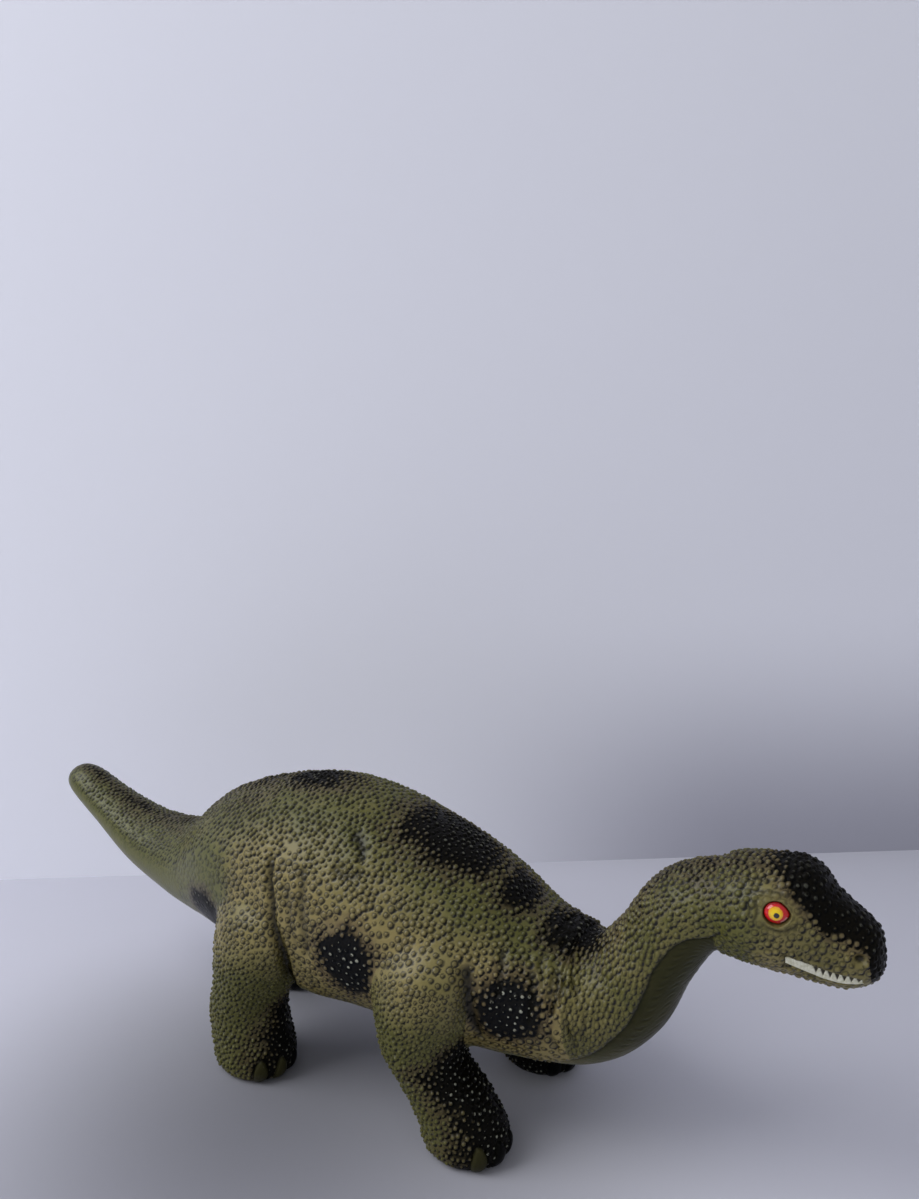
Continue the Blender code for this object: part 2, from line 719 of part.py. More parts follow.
def build_torso_skin(legs, spine_outer, spine_inner):
    """The torso's shell with its leg openings, and the flat land and hole for the sound unit."""
    outer = spine_rings(spine_outer.torso, RING_SEGMENTS)
    inner = spine_rings(spine_inner.torso, RING_SEGMENTS)
    skin = shell("torso_skin", outer, inner, "olive_vinyl", spine_outer.torso[0].centre, (True, True))
    recess_bottom = LAND_HEIGHT - LAND_RECESS_REACH
    land = turned_object("belly land", plug(LAND_RADIUS, recess_bottom, LAND_HEIGHT + LAND_THICKNESS))
    middle = spine_rings(Spine(by=-SKIN_WALL / 2, steps=COARSE_STEPS).torso, RING_SEGMENTS)
    boolean(land, solid_loft("middle of the wall", middle), "INTERSECT")
    boolean(skin, land, "UNION")
    recess_profile = (
        (0, recess_bottom),
        (LAND_RECESS_RADIUS, recess_bottom),
        (LAND_RECESS_RADIUS, LAND_HEIGHT),
        (LAND_HOLE_RADIUS, LAND_HEIGHT),
        (LAND_HOLE_RADIUS, LAND_HEIGHT + OVERRUN),
        (0, LAND_HEIGHT + OVERRUN),
    )
    boolean(skin, turned_object("belly recess and hole", recess_profile))
    # Triangles lie flat, so the cuts that follow close on every size of torso
    skin.modifiers.new("flat faces", "TRIANGULATE")
    screw_hole = plug(SCREW_RADIUS + SCREW_CLEARANCE, LAND_HEIGHT - OVERRUN, LAND_HEIGHT + OVERRUN)
    boolean(skin, turned_cutters("belly screw holes", screw_hole, screw_places()))
    for name, leg in legs.items():
        inner = leg.rings(by=-SKIN_WALL, floor=SKIN_WALL, segments=FILLING_SEGMENTS)
        boolean(skin, solid_loft(f"{name} cavity", inner))


def build_spine_skins(spine_outer, spine_inner, head_envelope):
    """The tail's sock, and the neck's tube up to where it meets the skull."""
    tail_outer = spine_rings(spine_outer.tail, RING_SEGMENTS)
    tail_inner = spine_rings(spine_inner.tail[1:], RING_SEGMENTS)
    root = spine_outer.tail[-1].centre
    shell("tail_skin", tail_outer, tail_inner, "olive_vinyl", root, (False, True))
    neck_outer = spine_rings(spine_outer.neck, RING_SEGMENTS)
    neck_inner = spine_rings(spine_inner.neck, RING_SEGMENTS)
    root = spine_outer.neck[0].centre
    neck = shell("neck_skin", neck_outer, neck_inner, "olive_vinyl", root, (True, True))
    boolean(neck, head_envelope)


def eye_matrix(side):
    """Where an eye sits: its own +Z points out of the head."""
    section = min(head_sections(), key=lambda s: abs(s.centre.x - EYE_X))
    share = max(1 - ((EYE_HEIGHT - section.centre.z) / section.up) ** 2, 0)
    reach = section.width * math.sqrt(share) + EYE_PROUD - EYE_DOME_DEPTH / 2
    toe_in = Matrix.Rotation(-side * EYE_TOE_IN, 4, "Z")
    face_out = Matrix.Rotation(-side * math.pi / 2, 4, "X")
    roll = Matrix.Rotation(side * EYE_ROLL, 4, "Z")
    return Matrix.Translation((EYE_X, side * reach, EYE_HEIGHT)) @ toe_in @ face_out @ roll


def eye_body(name, side, by=0, finish=None):
    """A domed oval eye on a round shank, larger all round by that much."""
    across, rise = Vector((1, 0, 0)), Vector((0, 1, 0))
    back = EYE_DOME_DEPTH / 2 - EYE_SHANK_LENGTH
    shank_share = EYE_SHANK_RADIUS / EYE_LENGTH
    reaches = [(shank_share, back - by), (shank_share, -by), (1 / 2, -by)]
    dome = [math.radians(angle) for angle in EYE_DOME_ANGLES]
    reaches += [(math.cos(angle) / 2, math.sin(angle) * EYE_DOME_DEPTH / 2 + by) for angle in dome]
    rings = []
    for share, height in reaches:
        length, opening = share * EYE_LENGTH + by, share * EYE_OPENING + by
        ring = Section((0, 0, height), length, opening, opening)
        rings.append(oval(ring.centre, across, rise, ring, EYE_SEGMENTS))
    place = eye_matrix(side)
    rings = [[place @ point for point in ring] for ring in rings]
    return solid_loft(name, rings, finish, place.translation)


def build_head(spine_inner):
    """The skull's closed shell, opened for the neck, the eyes, the nostrils and the mouth's groove."""
    inner = upright_rings(head_sections(by=-SKIN_WALL), FILLING_SEGMENTS)
    outer = upright_rings(head_sections(), RING_SEGMENTS)
    skin = shell("head_skin", outer, inner, "olive_vinyl", (HEAD_BACK_X, 0, HEAD_HEIGHT))
    boolean(skin, solid_loft("neck cavity", spine_rings(spine_inner.neck, RING_SEGMENTS)))
    for side, word in ((-1, "right"), (1, "left")):
        eye_body(f"{word}_eye", side, finish="eye_plastic")
        boolean(skin, eye_body(f"{word} eye socket", side, by=GAP))
    boolean(skin, nostril_cutter())
    boolean(skin, mouth_cutter())
    return skin


def nostril_cutter():
    """Two shallow pits on the sides of the snout."""
    section = min(head_sections(), key=lambda s: abs(s.centre.x - NOSTRIL_X))
    bm = bmesh.new()
    for side in (-1, 1):
        place = Vector((NOSTRIL_X, side * (section.width - NOSTRIL_DEPTH / 2), NOSTRIL_HEIGHT))
        size = Matrix.Diagonal((NOSTRIL_RADIUS, NOSTRIL_DEPTH, NOSTRIL_RADIUS, 1))
        spot = Matrix.Translation(place) @ size
        bmesh.ops.create_uvsphere(
            bm, u_segments=NOSTRIL_SEGMENTS, v_segments=NOSTRIL_RINGS, radius=1, matrix=spot
        )
    return new_object("nostril cutter", bm)


def mouth_cutter():
    """A thin groove round the front of the snout: a slab with the core of the head taken out of it."""
    bm = bmesh.new()
    length = 2 * HEAD_LENGTH
    place = Matrix.Translation((MOUTH_CORNER_X, 0, MOUTH_HEIGHT)) @ Matrix.Rotation(MOUTH_SLOPE, 4, "Y")
    size = Matrix.Diagonal((length, 2 * HEAD_WIDTH, MOUTH_OPENING, 1))
    bmesh.ops.create_cube(bm, size=1, matrix=place @ Matrix.Translation((length / 2, 0, 0)) @ size)
    slab = new_object("mouth cutter", bm)
    boolean(slab, solid_loft("mouth core", upright_rings(head_sections(by=-MOUTH_DEPTH), RING_SEGMENTS)))
    return slab


def build_fillings(legs, head_core, torso_core, unit_room):
    """The fibre packing of each region, drawn back by the gap from the skin round it."""
    core = Spine(by=-SKIN_WALL - FILLING_GAP, steps=COARSE_STEPS)
    tail_rings = spine_rings(core.tail[1:], RING_SEGMENTS)
    solid_loft("tail_filling", tail_rings, "fibre", core.tail[-1].centre)
    torso_rings = spine_rings(core.torso, RING_SEGMENTS)
    torso = solid_loft("torso_filling", torso_rings, "fibre", core.torso[0].centre)
    boolean(torso, unit_room)
    neck = solid_loft("neck_filling", spine_rings(core.neck, RING_SEGMENTS), "fibre", core.neck[0].centre)
    boolean(neck, head_core)
    head_rings = upright_rings(head_sections(by=-SKIN_WALL - FILLING_GAP), FILLING_SEGMENTS)
    head = solid_loft("head_filling", head_rings, "fibre", (HEAD_BACK_X, 0, HEAD_HEIGHT))
    for side, word in ((-1, "right"), (1, "left")):
        boolean(head, bpy.data.objects[f"{word} eye socket"])
    for name, leg in legs.items():
        rings = leg.rings(by=-SKIN_WALL - FILLING_GAP, floor=SKIN_WALL + GAP, segments=FILLING_SEGMENTS)
        filling = solid_loft(f"{name}_filling", rings, "fibre", leg.foot)
        boolean(filling, torso_core)


def build_cover():
    """The round plate outside the belly, with the button's hole, vents and a skirt up to the board."""
    hole = BUTTON_RADIUS + BUTTON_CLEARANCE
    skirt_outer = CASE_BORE_RADIUS - BOARD_CLEARANCE
    skirt_inner = skirt_outer - SKIRT_WALL
    profile = (
        (hole, COVER_BOTTOM),
        (COVER_RADIUS - COVER_EDGE_ROUND, COVER_BOTTOM),
        (COVER_RADIUS, COVER_BOTTOM + COVER_EDGE_ROUND),
        (COVER_RADIUS, COVER_TOP),
        (skirt_outer, COVER_TOP),
        (skirt_outer, BOARD_BOTTOM - GAP),
        (skirt_inner, BOARD_BOTTOM - GAP),
        (skirt_inner, COVER_TOP),
        (hole, COVER_TOP),
    )
    cover = turned_object("sound_unit_cover", profile, "black_plastic")
    shank = plug(SCREW_RADIUS + SCREW_CLEARANCE, COVER_BOTTOM - OVERRUN, COVER_TOP + OVERRUN)
    head = plug(SCREW_HEAD_RADIUS + SCREW_CLEARANCE, COVER_BOTTOM - OVERRUN, COVER_BOTTOM + SCREW_HEAD_HEIGHT)
    vent = plug(VENT_RADIUS, COVER_BOTTOM - OVERRUN, COVER_TOP + OVERRUN)
    boolean(cover, turned_cutters("cover shank holes", shank, screw_places()))
    boolean(cover, turned_cutters("cover head seats", head, screw_places()))
    vent_places = circle_places(VENT_COUNT, VENT_CIRCLE_RADIUS)
    boolean(cover, turned_cutters("cover vents", vent, vent_places, VENT_SEGMENTS))


def build_case():
    """The cup inside the belly: a flange with screw bosses, a stepped bore and a grille in its ceiling."""
    outer = CASE_BORE_RADIUS + CASE_WALL
    profile = (
        (CASE_BORE_RADIUS, CASE_FOOT),
        (COVER_RADIUS, CASE_FOOT),
        (COVER_RADIUS, CASE_FOOT + CASE_FLANGE_THICKNESS),
        (outer, CASE_FOOT + CASE_FLANGE_THICKNESS),
        (outer, CASE_TOP),
        (0, CASE_TOP),
        (0, CASE_CEILING),
        (CASE_UPPER_BORE_RADIUS, CASE_CEILING),
        (CASE_UPPER_BORE_RADIUS, CASE_STEP),
        (CASE_BORE_RADIUS, CASE_STEP),
    )
    case = turned_object("sound_unit_case", profile, "black_plastic")
    boss = plug(BOSS_RADIUS, CASE_FOOT + CASE_FLANGE_THICKNESS / 2, CASE_FOOT + BOSS_HEIGHT)
    boolean(case, turned_cutters("case bosses", boss, screw_places()), "UNION")
    boolean(case, turned_object("case bore", plug(CASE_BORE_RADIUS, CASE_FOOT - OVERRUN, CASE_STEP)))
    hole = plug(SCREW_RADIUS + THREAD_CLEARANCE, CASE_FOOT - OVERRUN, CASE_FOOT + BOSS_HEIGHT - GAP)
    boolean(case, turned_cutters("case screw holes", hole, screw_places()))
    grille = plug(GRILLE_HOLE_RADIUS, CASE_CEILING - CASE_WALL, CASE_TOP + OVERRUN)
    grille_places = circle_places(GRILLE_HOLE_COUNT, GRILLE_CIRCLE_RADIUS)
    boolean(case, turned_cutters("case grille", grille, grille_places, VENT_SEGMENTS))


def build_screws():
    """The four screws that clamp the cover and the case on the belly land."""
    head_top = COVER_BOTTOM + SCREW_HEAD_HEIGHT - GAP
    head_bottom = head_top - SCREW_HEAD_HEIGHT
    tip = CASE_FOOT + BOSS_HEIGHT - 2 * GAP - SCREW_RADIUS
    profile = (
        (0, head_bottom),
        (SCREW_HEAD_RADIUS, head_bottom),
        (SCREW_HEAD_RADIUS, head_top),
        (SCREW_RADIUS, head_top),
        (SCREW_RADIUS, tip),
        (0, tip + SCREW_RADIUS / 2),
    )
    for number, place in enumerate(screw_places(), 1):
        screw = turned_object(f"cover_screw_{number}", profile, "steel", SMALL_TURNED_SEGMENTS, place)
        for turn in (0, math.pi / 2):
            bm = bmesh.new()
            middle = Matrix.Translation((*place, head_bottom)) @ Matrix.Rotation(turn, 4, "Z")
            size = Matrix.Diagonal((SCREW_SLOT_LENGTH, SCREW_SLOT_WIDTH, 2 * SCREW_SLOT_DEPTH, 1))
            bmesh.ops.create_cube(bm, size=1, matrix=middle @ size)
            boolean(screw, new_object("screw slot", bm))


def build_button():
    """The push button and its contact pad, carried by an empty on the slide's axis, and the return spring."""
    bottom = COVER_BOTTOM - BUTTON_PROUD
    rim_bottom = COVER_TOP + GAP
    rim_top = rim_bottom + BUTTON_RIM_THICKNESS
    pad_top = BOARD_BOTTOM - BUTTON_TRAVEL - GAP
    stem_top = pad_top - PAD_THICKNESS - GAP
    profile = (
        (0, bottom),
        (BUTTON_RADIUS - BUTTON_EDGE_ROUND, bottom),
        (BUTTON_RADIUS, bottom + BUTTON_EDGE_ROUND),
        (BUTTON_RADIUS, rim_bottom),
        (BUTTON_RIM_RADIUS, rim_bottom),
        (BUTTON_RIM_RADIUS, rim_top),
        (BUTTON_STEM_RADIUS, rim_top),
        (BUTTON_STEM_RADIUS, stem_top),
        (0, stem_top),
    )
    axis = frame_empty("button_axis", (SOUND_X, 0, bottom), frame_empty("toy"))
    button = turned_object("push_button", profile, "red_plastic")
    pad_profile = plug(PAD_RADIUS, stem_top + GAP, pad_top)
    pad = turned_object("contact_pad", pad_profile, "conductive_rubber", SMALL_TURNED_SEGMENTS)
    for moving in (button, pad):
        moving.location -= axis.location
        moving.parent = axis
    build_spring()


def build_spring():
    """The coil between the button's rim and the circuit board."""
    low = SPRING_BOTTOM + SPRING_WIRE_RADIUS
    high = BOARD_BOTTOM - GAP - SPRING_WIRE_RADIUS
    curve = bpy.data.curves.new("button_spring", "CURVE")
    curve.dimensions = "3D"
    curve.bevel_depth = SPRING_WIRE_RADIUS
    curve.bevel_resolution = 1
    curve.use_fill_caps = True
    curve.materials.append(material("steel"))
    count = SPRING_TURNS * SPRING_POINTS_PER_TURN
    line = curve.splines.new("POLY")
    line.points.add(count)
    for i, point in enumerate(line.points):
        angle = 2 * math.pi * i / SPRING_POINTS_PER_TURN
        climb = (high - low) * i / count
        point.co = (SPRING_RADIUS * math.cos(angle), SPRING_RADIUS * math.sin(angle), climb, 1)
    spring = bpy.data.objects.new("button_spring", curve)
    spring.location = (SOUND_X, 0, low)
    spring.parent = frame_empty("toy")
    bpy.context.scene.collection.objects.link(spring)


def build_board():
    """The circuit board and the blob over its sound chip."""
    board = plug(CASE_BORE_RADIUS - BOARD_CLEARANCE, BOARD_BOTTOM, BOARD_TOP)
    turned_object("circuit_board", board, "board")
    chip_top = BOARD_BOTTOM - GAP
    chip = (
        (0, chip_top - CHIP_HEIGHT),
        (CHIP_RADIUS / 2, chip_top - CHIP_HEIGHT),
        (CHIP_RADIUS, chip_top - CHIP_HEIGHT / 3),
        (CHIP_RADIUS, chip_top),
        (0, chip_top),
    )
    place = (SOUND_X + CHIP_OFFSET, 0)
    turned_object("sound_chip", chip, "conductive_rubber", SMALL_TURNED_SEGMENTS, place)


def build_cells():
    """The three cells in their tray, the strap over them and the leads that pass the tray."""
    tray_profile = plug(CASE_UPPER_BORE_RADIUS - BOARD_CLEARANCE, TRAY_BOTTOM, TRAY_TOP)
    tray = turned_object("cell_tray", tray_profile, "black_plastic")
    cell_places = circle_places(CELL_COUNT, CELL_CIRCLE_RADIUS, FIRST_CELL_ANGLE)
    pocket = plug(CELL_RADIUS + CELL_CLEARANCE, TRAY_BOTTOM - OVERRUN, TRAY_TOP + OVERRUN)
    boolean(tray, turned_cutters("cell pockets", pocket, cell_places, TURNED_SEGMENTS))
    between = FIRST_CELL_ANGLE - math.pi / CELL_COUNT
    lead_places = circle_places(CELL_COUNT, LEAD_CIRCLE_RADIUS, between)[:LEAD_COUNT]
    lead_hole = plug(LEAD_RADIUS + GAP, TRAY_BOTTOM - OVERRUN, TRAY_TOP + OVERRUN)
    boolean(tray, turned_cutters("lead holes", lead_hole, lead_places))
    cell = (
        (0, TRAY_BOTTOM),
        (CELL_NUB_RADIUS, TRAY_BOTTOM),
        (CELL_RADIUS, TRAY_BOTTOM + CELL_NUB_HEIGHT),
        (CELL_RADIUS, TRAY_TOP),
        (CELL_NUB_RADIUS, TRAY_TOP),
        (CELL_NUB_RADIUS, TRAY_TOP + CELL_NUB_HEIGHT),
        (0, TRAY_TOP + CELL_NUB_HEIGHT),
    )
    for number, place in enumerate(cell_places, 1):
        turned_object(f"battery_cell_{number}", cell, "steel", SMALL_TURNED_SEGMENTS, place)
    slope = CONE_DEPTH / (SPEAKER_RADIUS - MAGNET_RADIUS)
    lead_top = BASKET_BOTTOM + slope * (LEAD_CIRCLE_RADIUS - LEAD_RADIUS - MAGNET_RADIUS) - GAP
    lead = plug(LEAD_RADIUS, BOARD_TOP + GAP, lead_top)
    for number, place in enumerate(lead_places, 1):
        turned_object(f"speaker_lead_{number}", lead, "brass", SMALL_TURNED_SEGMENTS, place)
    build_strap(cell_places)


def build_strap(cell_places):
    """The sheet-brass strap that joins the three cells: a hub with an arm over each cell."""
    reach = CELL_CIRCLE_RADIUS + CELL_NUB_RADIUS / 2
    half = STRAP_WIDTH / 2
    root = math.sqrt(STRAP_HUB_RADIUS**2 - half**2)
    arm = ((root, -half), (reach, -half), (reach, half), (root, half))
    outline = []
    for x, y in cell_places:
        angle = math.atan2(y, x - SOUND_X)
        between = angle + math.pi / CELL_COUNT
        outline += [Matrix.Rotation(angle, 2) @ Vector(corner) for corner in arm]
        outline.append(Vector((math.cos(between), math.sin(between))) * STRAP_HUB_RADIUS)
    bm = bmesh.new()
    low = [bm.verts.new((SOUND_X + point.x, point.y, STRAP_BOTTOM)) for point in outline]
    high = [bm.verts.new((SOUND_X + point.x, point.y, STRAP_BOTTOM + STRAP_THICKNESS)) for point in outline]
    wall(bm, [low, high])
    bm.faces.new(reversed(low))
    bm.faces.new(high)
    new_object("cell_strap", bm, "brass", (SOUND_X, 0, STRAP_BOTTOM))


def build_speaker():
    """The speaker under the case's grille: magnet, basket and cone."""
    turned_object("speaker_magnet", plug(MAGNET_RADIUS, MAGNET_BOTTOM, BASKET_BOTTOM - GAP), "steel")
    rim_floor = BASKET_BOTTOM + CONE_DEPTH
    basket = (
        (0, BASKET_BOTTOM),
        (MAGNET_RADIUS, BASKET_BOTTOM),
        (SPEAKER_RADIUS, rim_floor),
        (SPEAKER_RADIUS, BASKET_TOP),
        (SPEAKER_RADIUS - BASKET_WALL, BASKET_TOP),
        (SPEAKER_RADIUS - BASKET_WALL, rim_floor + BASKET_WALL),
        (MAGNET_RADIUS, BASKET_BOTTOM + BASKET_WALL),
        (0, BASKET_BOTTOM + BASKET_WALL),
    )
    turned_object("speaker_basket", basket, "steel")
    outer = SPEAKER_RADIUS - BASKET_WALL - GAP
    low = BASKET_BOTTOM + BASKET_WALL + GAP
    cone = (
        (0, low),
        (MAGNET_RADIUS / 2, low),
        (outer, low + CONE_DEPTH),
        (outer, low + CONE_DEPTH + CONE_THICKNESS),
        (MAGNET_RADIUS / 2, low + CONE_THICKNESS),
        (0, low + CONE_THICKNESS),
    )
    turned_object("speaker_cone", cone, "paper_cone")


def unit_room_cutter():
    """The space that the sound unit takes out of the torso's filling."""
    flange = COVER_RADIUS + GAP
    boss_top = CASE_FOOT + BOSS_HEIGHT + GAP
    outer = CASE_BORE_RADIUS + CASE_WALL + GAP
    profile = (
        (0, LAND_HEIGHT - LAND_RECESS_REACH),
        (LAND_RADIUS + GAP, LAND_HEIGHT - LAND_RECESS_REACH),
        (LAND_RADIUS + GAP, LAND_HEIGHT + LAND_THICKNESS + GAP),
        (flange, LAND_HEIGHT + LAND_THICKNESS + GAP),
        (flange, boss_top),
        (outer, boss_top),
        (outer, CASE_TOP + GAP),
        (0, CASE_TOP + GAP),
    )
    return turned_object("unit room", profile)


def centre_on_plan():
    """Moves the toy's frame so that the origin is the middle of the toy's plan, on the floor."""
    bpy.context.view_layer.update()
    graph = bpy.context.evaluated_depsgraph_get()
    corners = []
    for found in bpy.context.scene.objects:
        if found.type != "EMPTY" and not found.hide_render:
            done = found.evaluated_get(graph)
            corners += [done.matrix_world @ Vector(corner) for corner in done.bound_box]
    middle = [(min(c[axis] for c in corners) + max(c[axis] for c in corners)) / 2 for axis in (0, 1)]
    toy = frame_empty("toy")
    toy.location = (-middle[0], -middle[1], 0)
    print("The toy's frame is at, in mm:", [round(value / MM, 3) for value in toy.location])


def main():
    clear_scene()
    legs = make_legs()
    floor = floor_cutter()
    spine_outer = Spine()
    spine_inner = Spine(by=-SKIN_WALL, steps=COARSE_STEPS)
    torso_envelope = solid_loft("torso envelope", spine_rings(Spine(by=GAP).torso, RING_SEGMENTS))
    head_envelope = solid_loft("head envelope", upright_rings(head_sections(by=GAP), RING_SEGMENTS))
    torso_core = solid_loft("torso core", spine_rings(spine_inner.torso, RING_SEGMENTS))
    inner_head = upright_rings(head_sections(by=-SKIN_WALL), FILLING_SEGMENTS)
    head_core = solid_loft("head core", inner_head)
    build_torso_skin(legs, spine_outer, spine_inner)
    build_spine_skins(spine_outer, spine_inner, head_envelope)
    build_head(spine_inner)
    build_leg_skins(legs, torso_envelope, floor)
    build_fillings(legs, head_core, torso_core, unit_room_cutter())
    build_cover()
    build_case()
    build_screws()
    build_button()
    build_board()
    build_cells()
    build_speaker()
    centre_on_plan()


main()
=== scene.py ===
"""A stuffed soft-vinyl long-necked toy dinosaur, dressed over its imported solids.

The hide is made whole, as the real moulding is: lofts along the spine, the skull and the legs are joined
into one surface, sculpted, raised into pebbles and painted, and then cut into the eight regions that
stand for the skin's eight solids. Lengths are millimetres until a mesh is written, in metres.
"""

import json
import logging
import math
from collections.abc import Sequence
from dataclasses import dataclass, field
from enum import Enum

import bpy
import numpy as np
from mathutils import Matrix, Vector

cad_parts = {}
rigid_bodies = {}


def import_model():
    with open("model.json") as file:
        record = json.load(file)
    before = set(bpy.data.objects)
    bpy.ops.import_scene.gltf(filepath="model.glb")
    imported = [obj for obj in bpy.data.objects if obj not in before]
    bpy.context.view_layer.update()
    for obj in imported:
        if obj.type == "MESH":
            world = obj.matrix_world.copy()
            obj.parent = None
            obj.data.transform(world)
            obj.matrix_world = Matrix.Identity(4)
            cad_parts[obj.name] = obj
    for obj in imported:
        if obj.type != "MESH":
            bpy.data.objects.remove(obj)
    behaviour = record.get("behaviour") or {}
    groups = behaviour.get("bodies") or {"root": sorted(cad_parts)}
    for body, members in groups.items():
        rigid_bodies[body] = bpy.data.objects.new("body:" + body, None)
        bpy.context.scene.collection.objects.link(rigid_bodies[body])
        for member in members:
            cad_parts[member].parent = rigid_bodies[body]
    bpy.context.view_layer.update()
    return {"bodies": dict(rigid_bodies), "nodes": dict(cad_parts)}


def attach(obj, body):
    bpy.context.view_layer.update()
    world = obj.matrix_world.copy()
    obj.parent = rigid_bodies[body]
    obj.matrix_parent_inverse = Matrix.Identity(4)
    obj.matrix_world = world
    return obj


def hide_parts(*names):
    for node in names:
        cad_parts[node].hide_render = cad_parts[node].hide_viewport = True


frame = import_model()

log = logging.getLogger("toy")

MM = 0.001
METRE = 1000.0
# A fold's lip: its height as a share of the fold's depth, and its place in widths from the fold
CREASE_LIP, FOLD_LIP, LID_LIP = (0.22, 2.3), (0.3, 2.2), (0.55, 1.9)
# How far back from the eye's middle its socket and lids reach
EYE_BACK = -9
Array = np.ndarray
Mesh, Object, Material = bpy.types.Mesh, bpy.types.Object, bpy.types.Material
Socket = bpy.types.NodeSocket
Colour = tuple[float, float, float, float]


def colour(code: str) -> Colour:
    """Turns a display colour into a linear one.

    Args:
        code: six hex digits, as a paint chart gives them.

    Returns:
        Linear red, green, blue and alpha.
    """
    channels = [int(code[i : i + 2], 16) / 255 for i in (0, 2, 4)]
    r, g, b = [c / 12.92 if c <= 0.04045 else ((c + 0.055) / 1.055) ** 2.4 for c in channels]
    return (r, g, b, 1.0)


def smoothstep(low: float, high: float, values: Array) -> Array:
    """Rises smoothly from 0 at low to 1 at high.

    Args:
        low: where the rise starts. It may be above high, which turns the rise into a fall.
        high: where the rise ends.
        values: what is measured.

    Returns:
        Shares from 0 to 1.
    """
    t = np.clip((values - low) / (high - low), 0, 1)
    return t * t * (3 - 2 * t)


def bell(values: Array, middle: float = 0.0, width: float = 1.0) -> Array:
    """A smooth bump: 1 at its middle, and about a third at its width from there."""
    return np.exp(-(((values - middle) / width) ** 2))


def pressed(
    depth: float, width: float, lip: tuple[float, float], gap: Array, fade: Array
) -> tuple[Array, Array]:
    """Presses a line into the hide, with a raised lip beside it.

    Args:
        depth: how deep the line is.
        width: its half width.
        lip: the lip's height as a share of the depth, and its place in widths from the line.
        gap: distances from the line.
        fade: how much of the line is there, from 0 to 1.

    Returns:
        How far each corner moves outward, and how much painted shade the line gets there.
    """
    pit = bell(gap, 0, width) * fade
    return depth * (lip[0] * bell(gap, lip[1] * width, width) * fade - pit), pit


def on_right(points: Array) -> Array:
    """Places on either side of the toy, mirrored to its right side."""
    return np.column_stack([points[:, 0], -np.abs(points[:, 1]), points[:, 2]])


def catmull_rom(rows: Array, steps: int) -> tuple[Array, Array]:
    """Threads a Catmull-Rom curve through rows of values.

    Args:
        rows: one row for each station.
        steps: how many values each span gets.

    Returns:
        The rows on the curve and their slopes.
    """
    held = np.vstack([rows[:1], rows, rows[-1:]])
    values, slopes = [], []
    for i in range(len(rows) - 1):
        p, q, r, s = held[i : i + 4]
        a, b, c = r - p, 2 * p - 5 * q + 4 * r - s, 3 * q - p - 3 * r + s
        for t in np.arange(steps) / steps:
            values.append(q + (a * t + b * t**2 + c * t**3) / 2)
            slopes.append(a + 2 * b * t + 3 * c * t**2)
    values.append(rows[-1])
    slopes.append(rows[-1] - rows[-2])
    return np.array(values), np.array(slopes)


def oval(across: Array, rise: Array, reach: Sequence[float], segments: int) -> Array:
    """Offsets of a ring of points round a section.

    Args:
        across: the unit direction of its width.
        rise: the unit direction of its height.
        reach: half width, reach up, reach down and power, squarer above 2.
        segments: the number of points.

    Returns:
        One offset from the section's centre for each point.
    """
    half, up, down, power = reach
    angle = 2 * np.pi * np.arange(segments) / segments
    c, s = np.cos(angle), np.sin(angle)
    side = np.sign(c) * np.abs(c) ** (2 / power) * half
    height = np.sign(s) * np.abs(s) ** (2 / power) * np.where(s > 0, up, down)
    return side[:, None] * across + height[:, None] * rise


def mesh_from(name: str, points: Array, *face_sets: Array) -> Mesh:
    """Writes arrays as a smooth mesh.

    Args:
        name: the mesh's name.
        points: corners in millimetres.
        face_sets: arrays of corner numbers, each of faces with the same number of corners.

    Returns:
        The new mesh, in metres.
    """
    mesh = bpy.data.meshes.new(name)
    mesh.vertices.add(len(points))
    mesh.vertices.foreach_set("co", (points * MM).astype(np.float32).ravel())
    corners = np.concatenate([faces.ravel() for faces in face_sets]).astype(np.int32)
    sizes = np.concatenate([np.full(len(faces), faces.shape[1]) for faces in face_sets])
    starts = np.concatenate([[0], np.cumsum(sizes)[:-1]]).astype(np.int32)
    mesh.loops.add(len(corners))
    mesh.loops.foreach_set("vertex_index", corners)
    mesh.polygons.add(len(sizes))
    mesh.polygons.foreach_set("loop_start", starts)
    mesh.update(calc_edges=True)
    mesh.shade_smooth()
    return mesh


def arrays_of(mesh: Mesh) -> tuple[Array, Array]:
    """Reads a mesh of four-cornered faces.

    Args:
        mesh: the mesh, in metres.

    Returns:
        Its corners in millimetres and its faces.
    """
    points = np.empty(len(mesh.vertices) * 3, np.float32)
    mesh.vertices.foreach_get("co", points)
    corners = np.empty(len(mesh.loops), np.int32)
    mesh.loops.foreach_get("vertex_index", corners)
    return points.reshape(-1, 3).astype(float) / MM, corners.reshape(-1, 4)


def store(mesh: Mesh, name: str, values: Array) -> None:
    """Adds numbers or vectors to a mesh's corners.

    Args:
        mesh: the mesh.
        name: the attribute's name.
        values: one number, or one row of three, for each corner.
    """
    kind, key = ("FLOAT", "value") if values.ndim == 1 else ("FLOAT_VECTOR", "vector")
    made = mesh.attributes.new(name, kind, "POINT")
    made.data.foreach_set(key, values.astype(np.float32).ravel())


def read(mesh: Mesh, name: str) -> Array:
    """Reads one number for each corner of a mesh, by the attribute's name."""
    values = np.empty(len(mesh.vertices), np.float32)
    mesh.attributes[name].data.foreach_get("value", values)
    return values


def new_object(name: str, mesh: Mesh) -> Object:
    """Puts a mesh in the scene, at the origin."""
    made = bpy.data.objects.new(name, mesh)
    bpy.context.scene.collection.objects.link(made)
    return made


def baked(obj: Object) -> Mesh:
    """Turns an object and its modifiers into a plain mesh, and removes the object.

    Args:
        obj: the object with its modifiers.

    Returns:
        The evaluated mesh with all its attributes.
    """
    graph = bpy.context.evaluated_depsgraph_get()
    mesh = bpy.data.meshes.new_from_object(
        obj.evaluated_get(graph), preserve_all_data_layers=True, depsgraph=graph
    )
    bpy.data.objects.remove(obj)
    return mesh


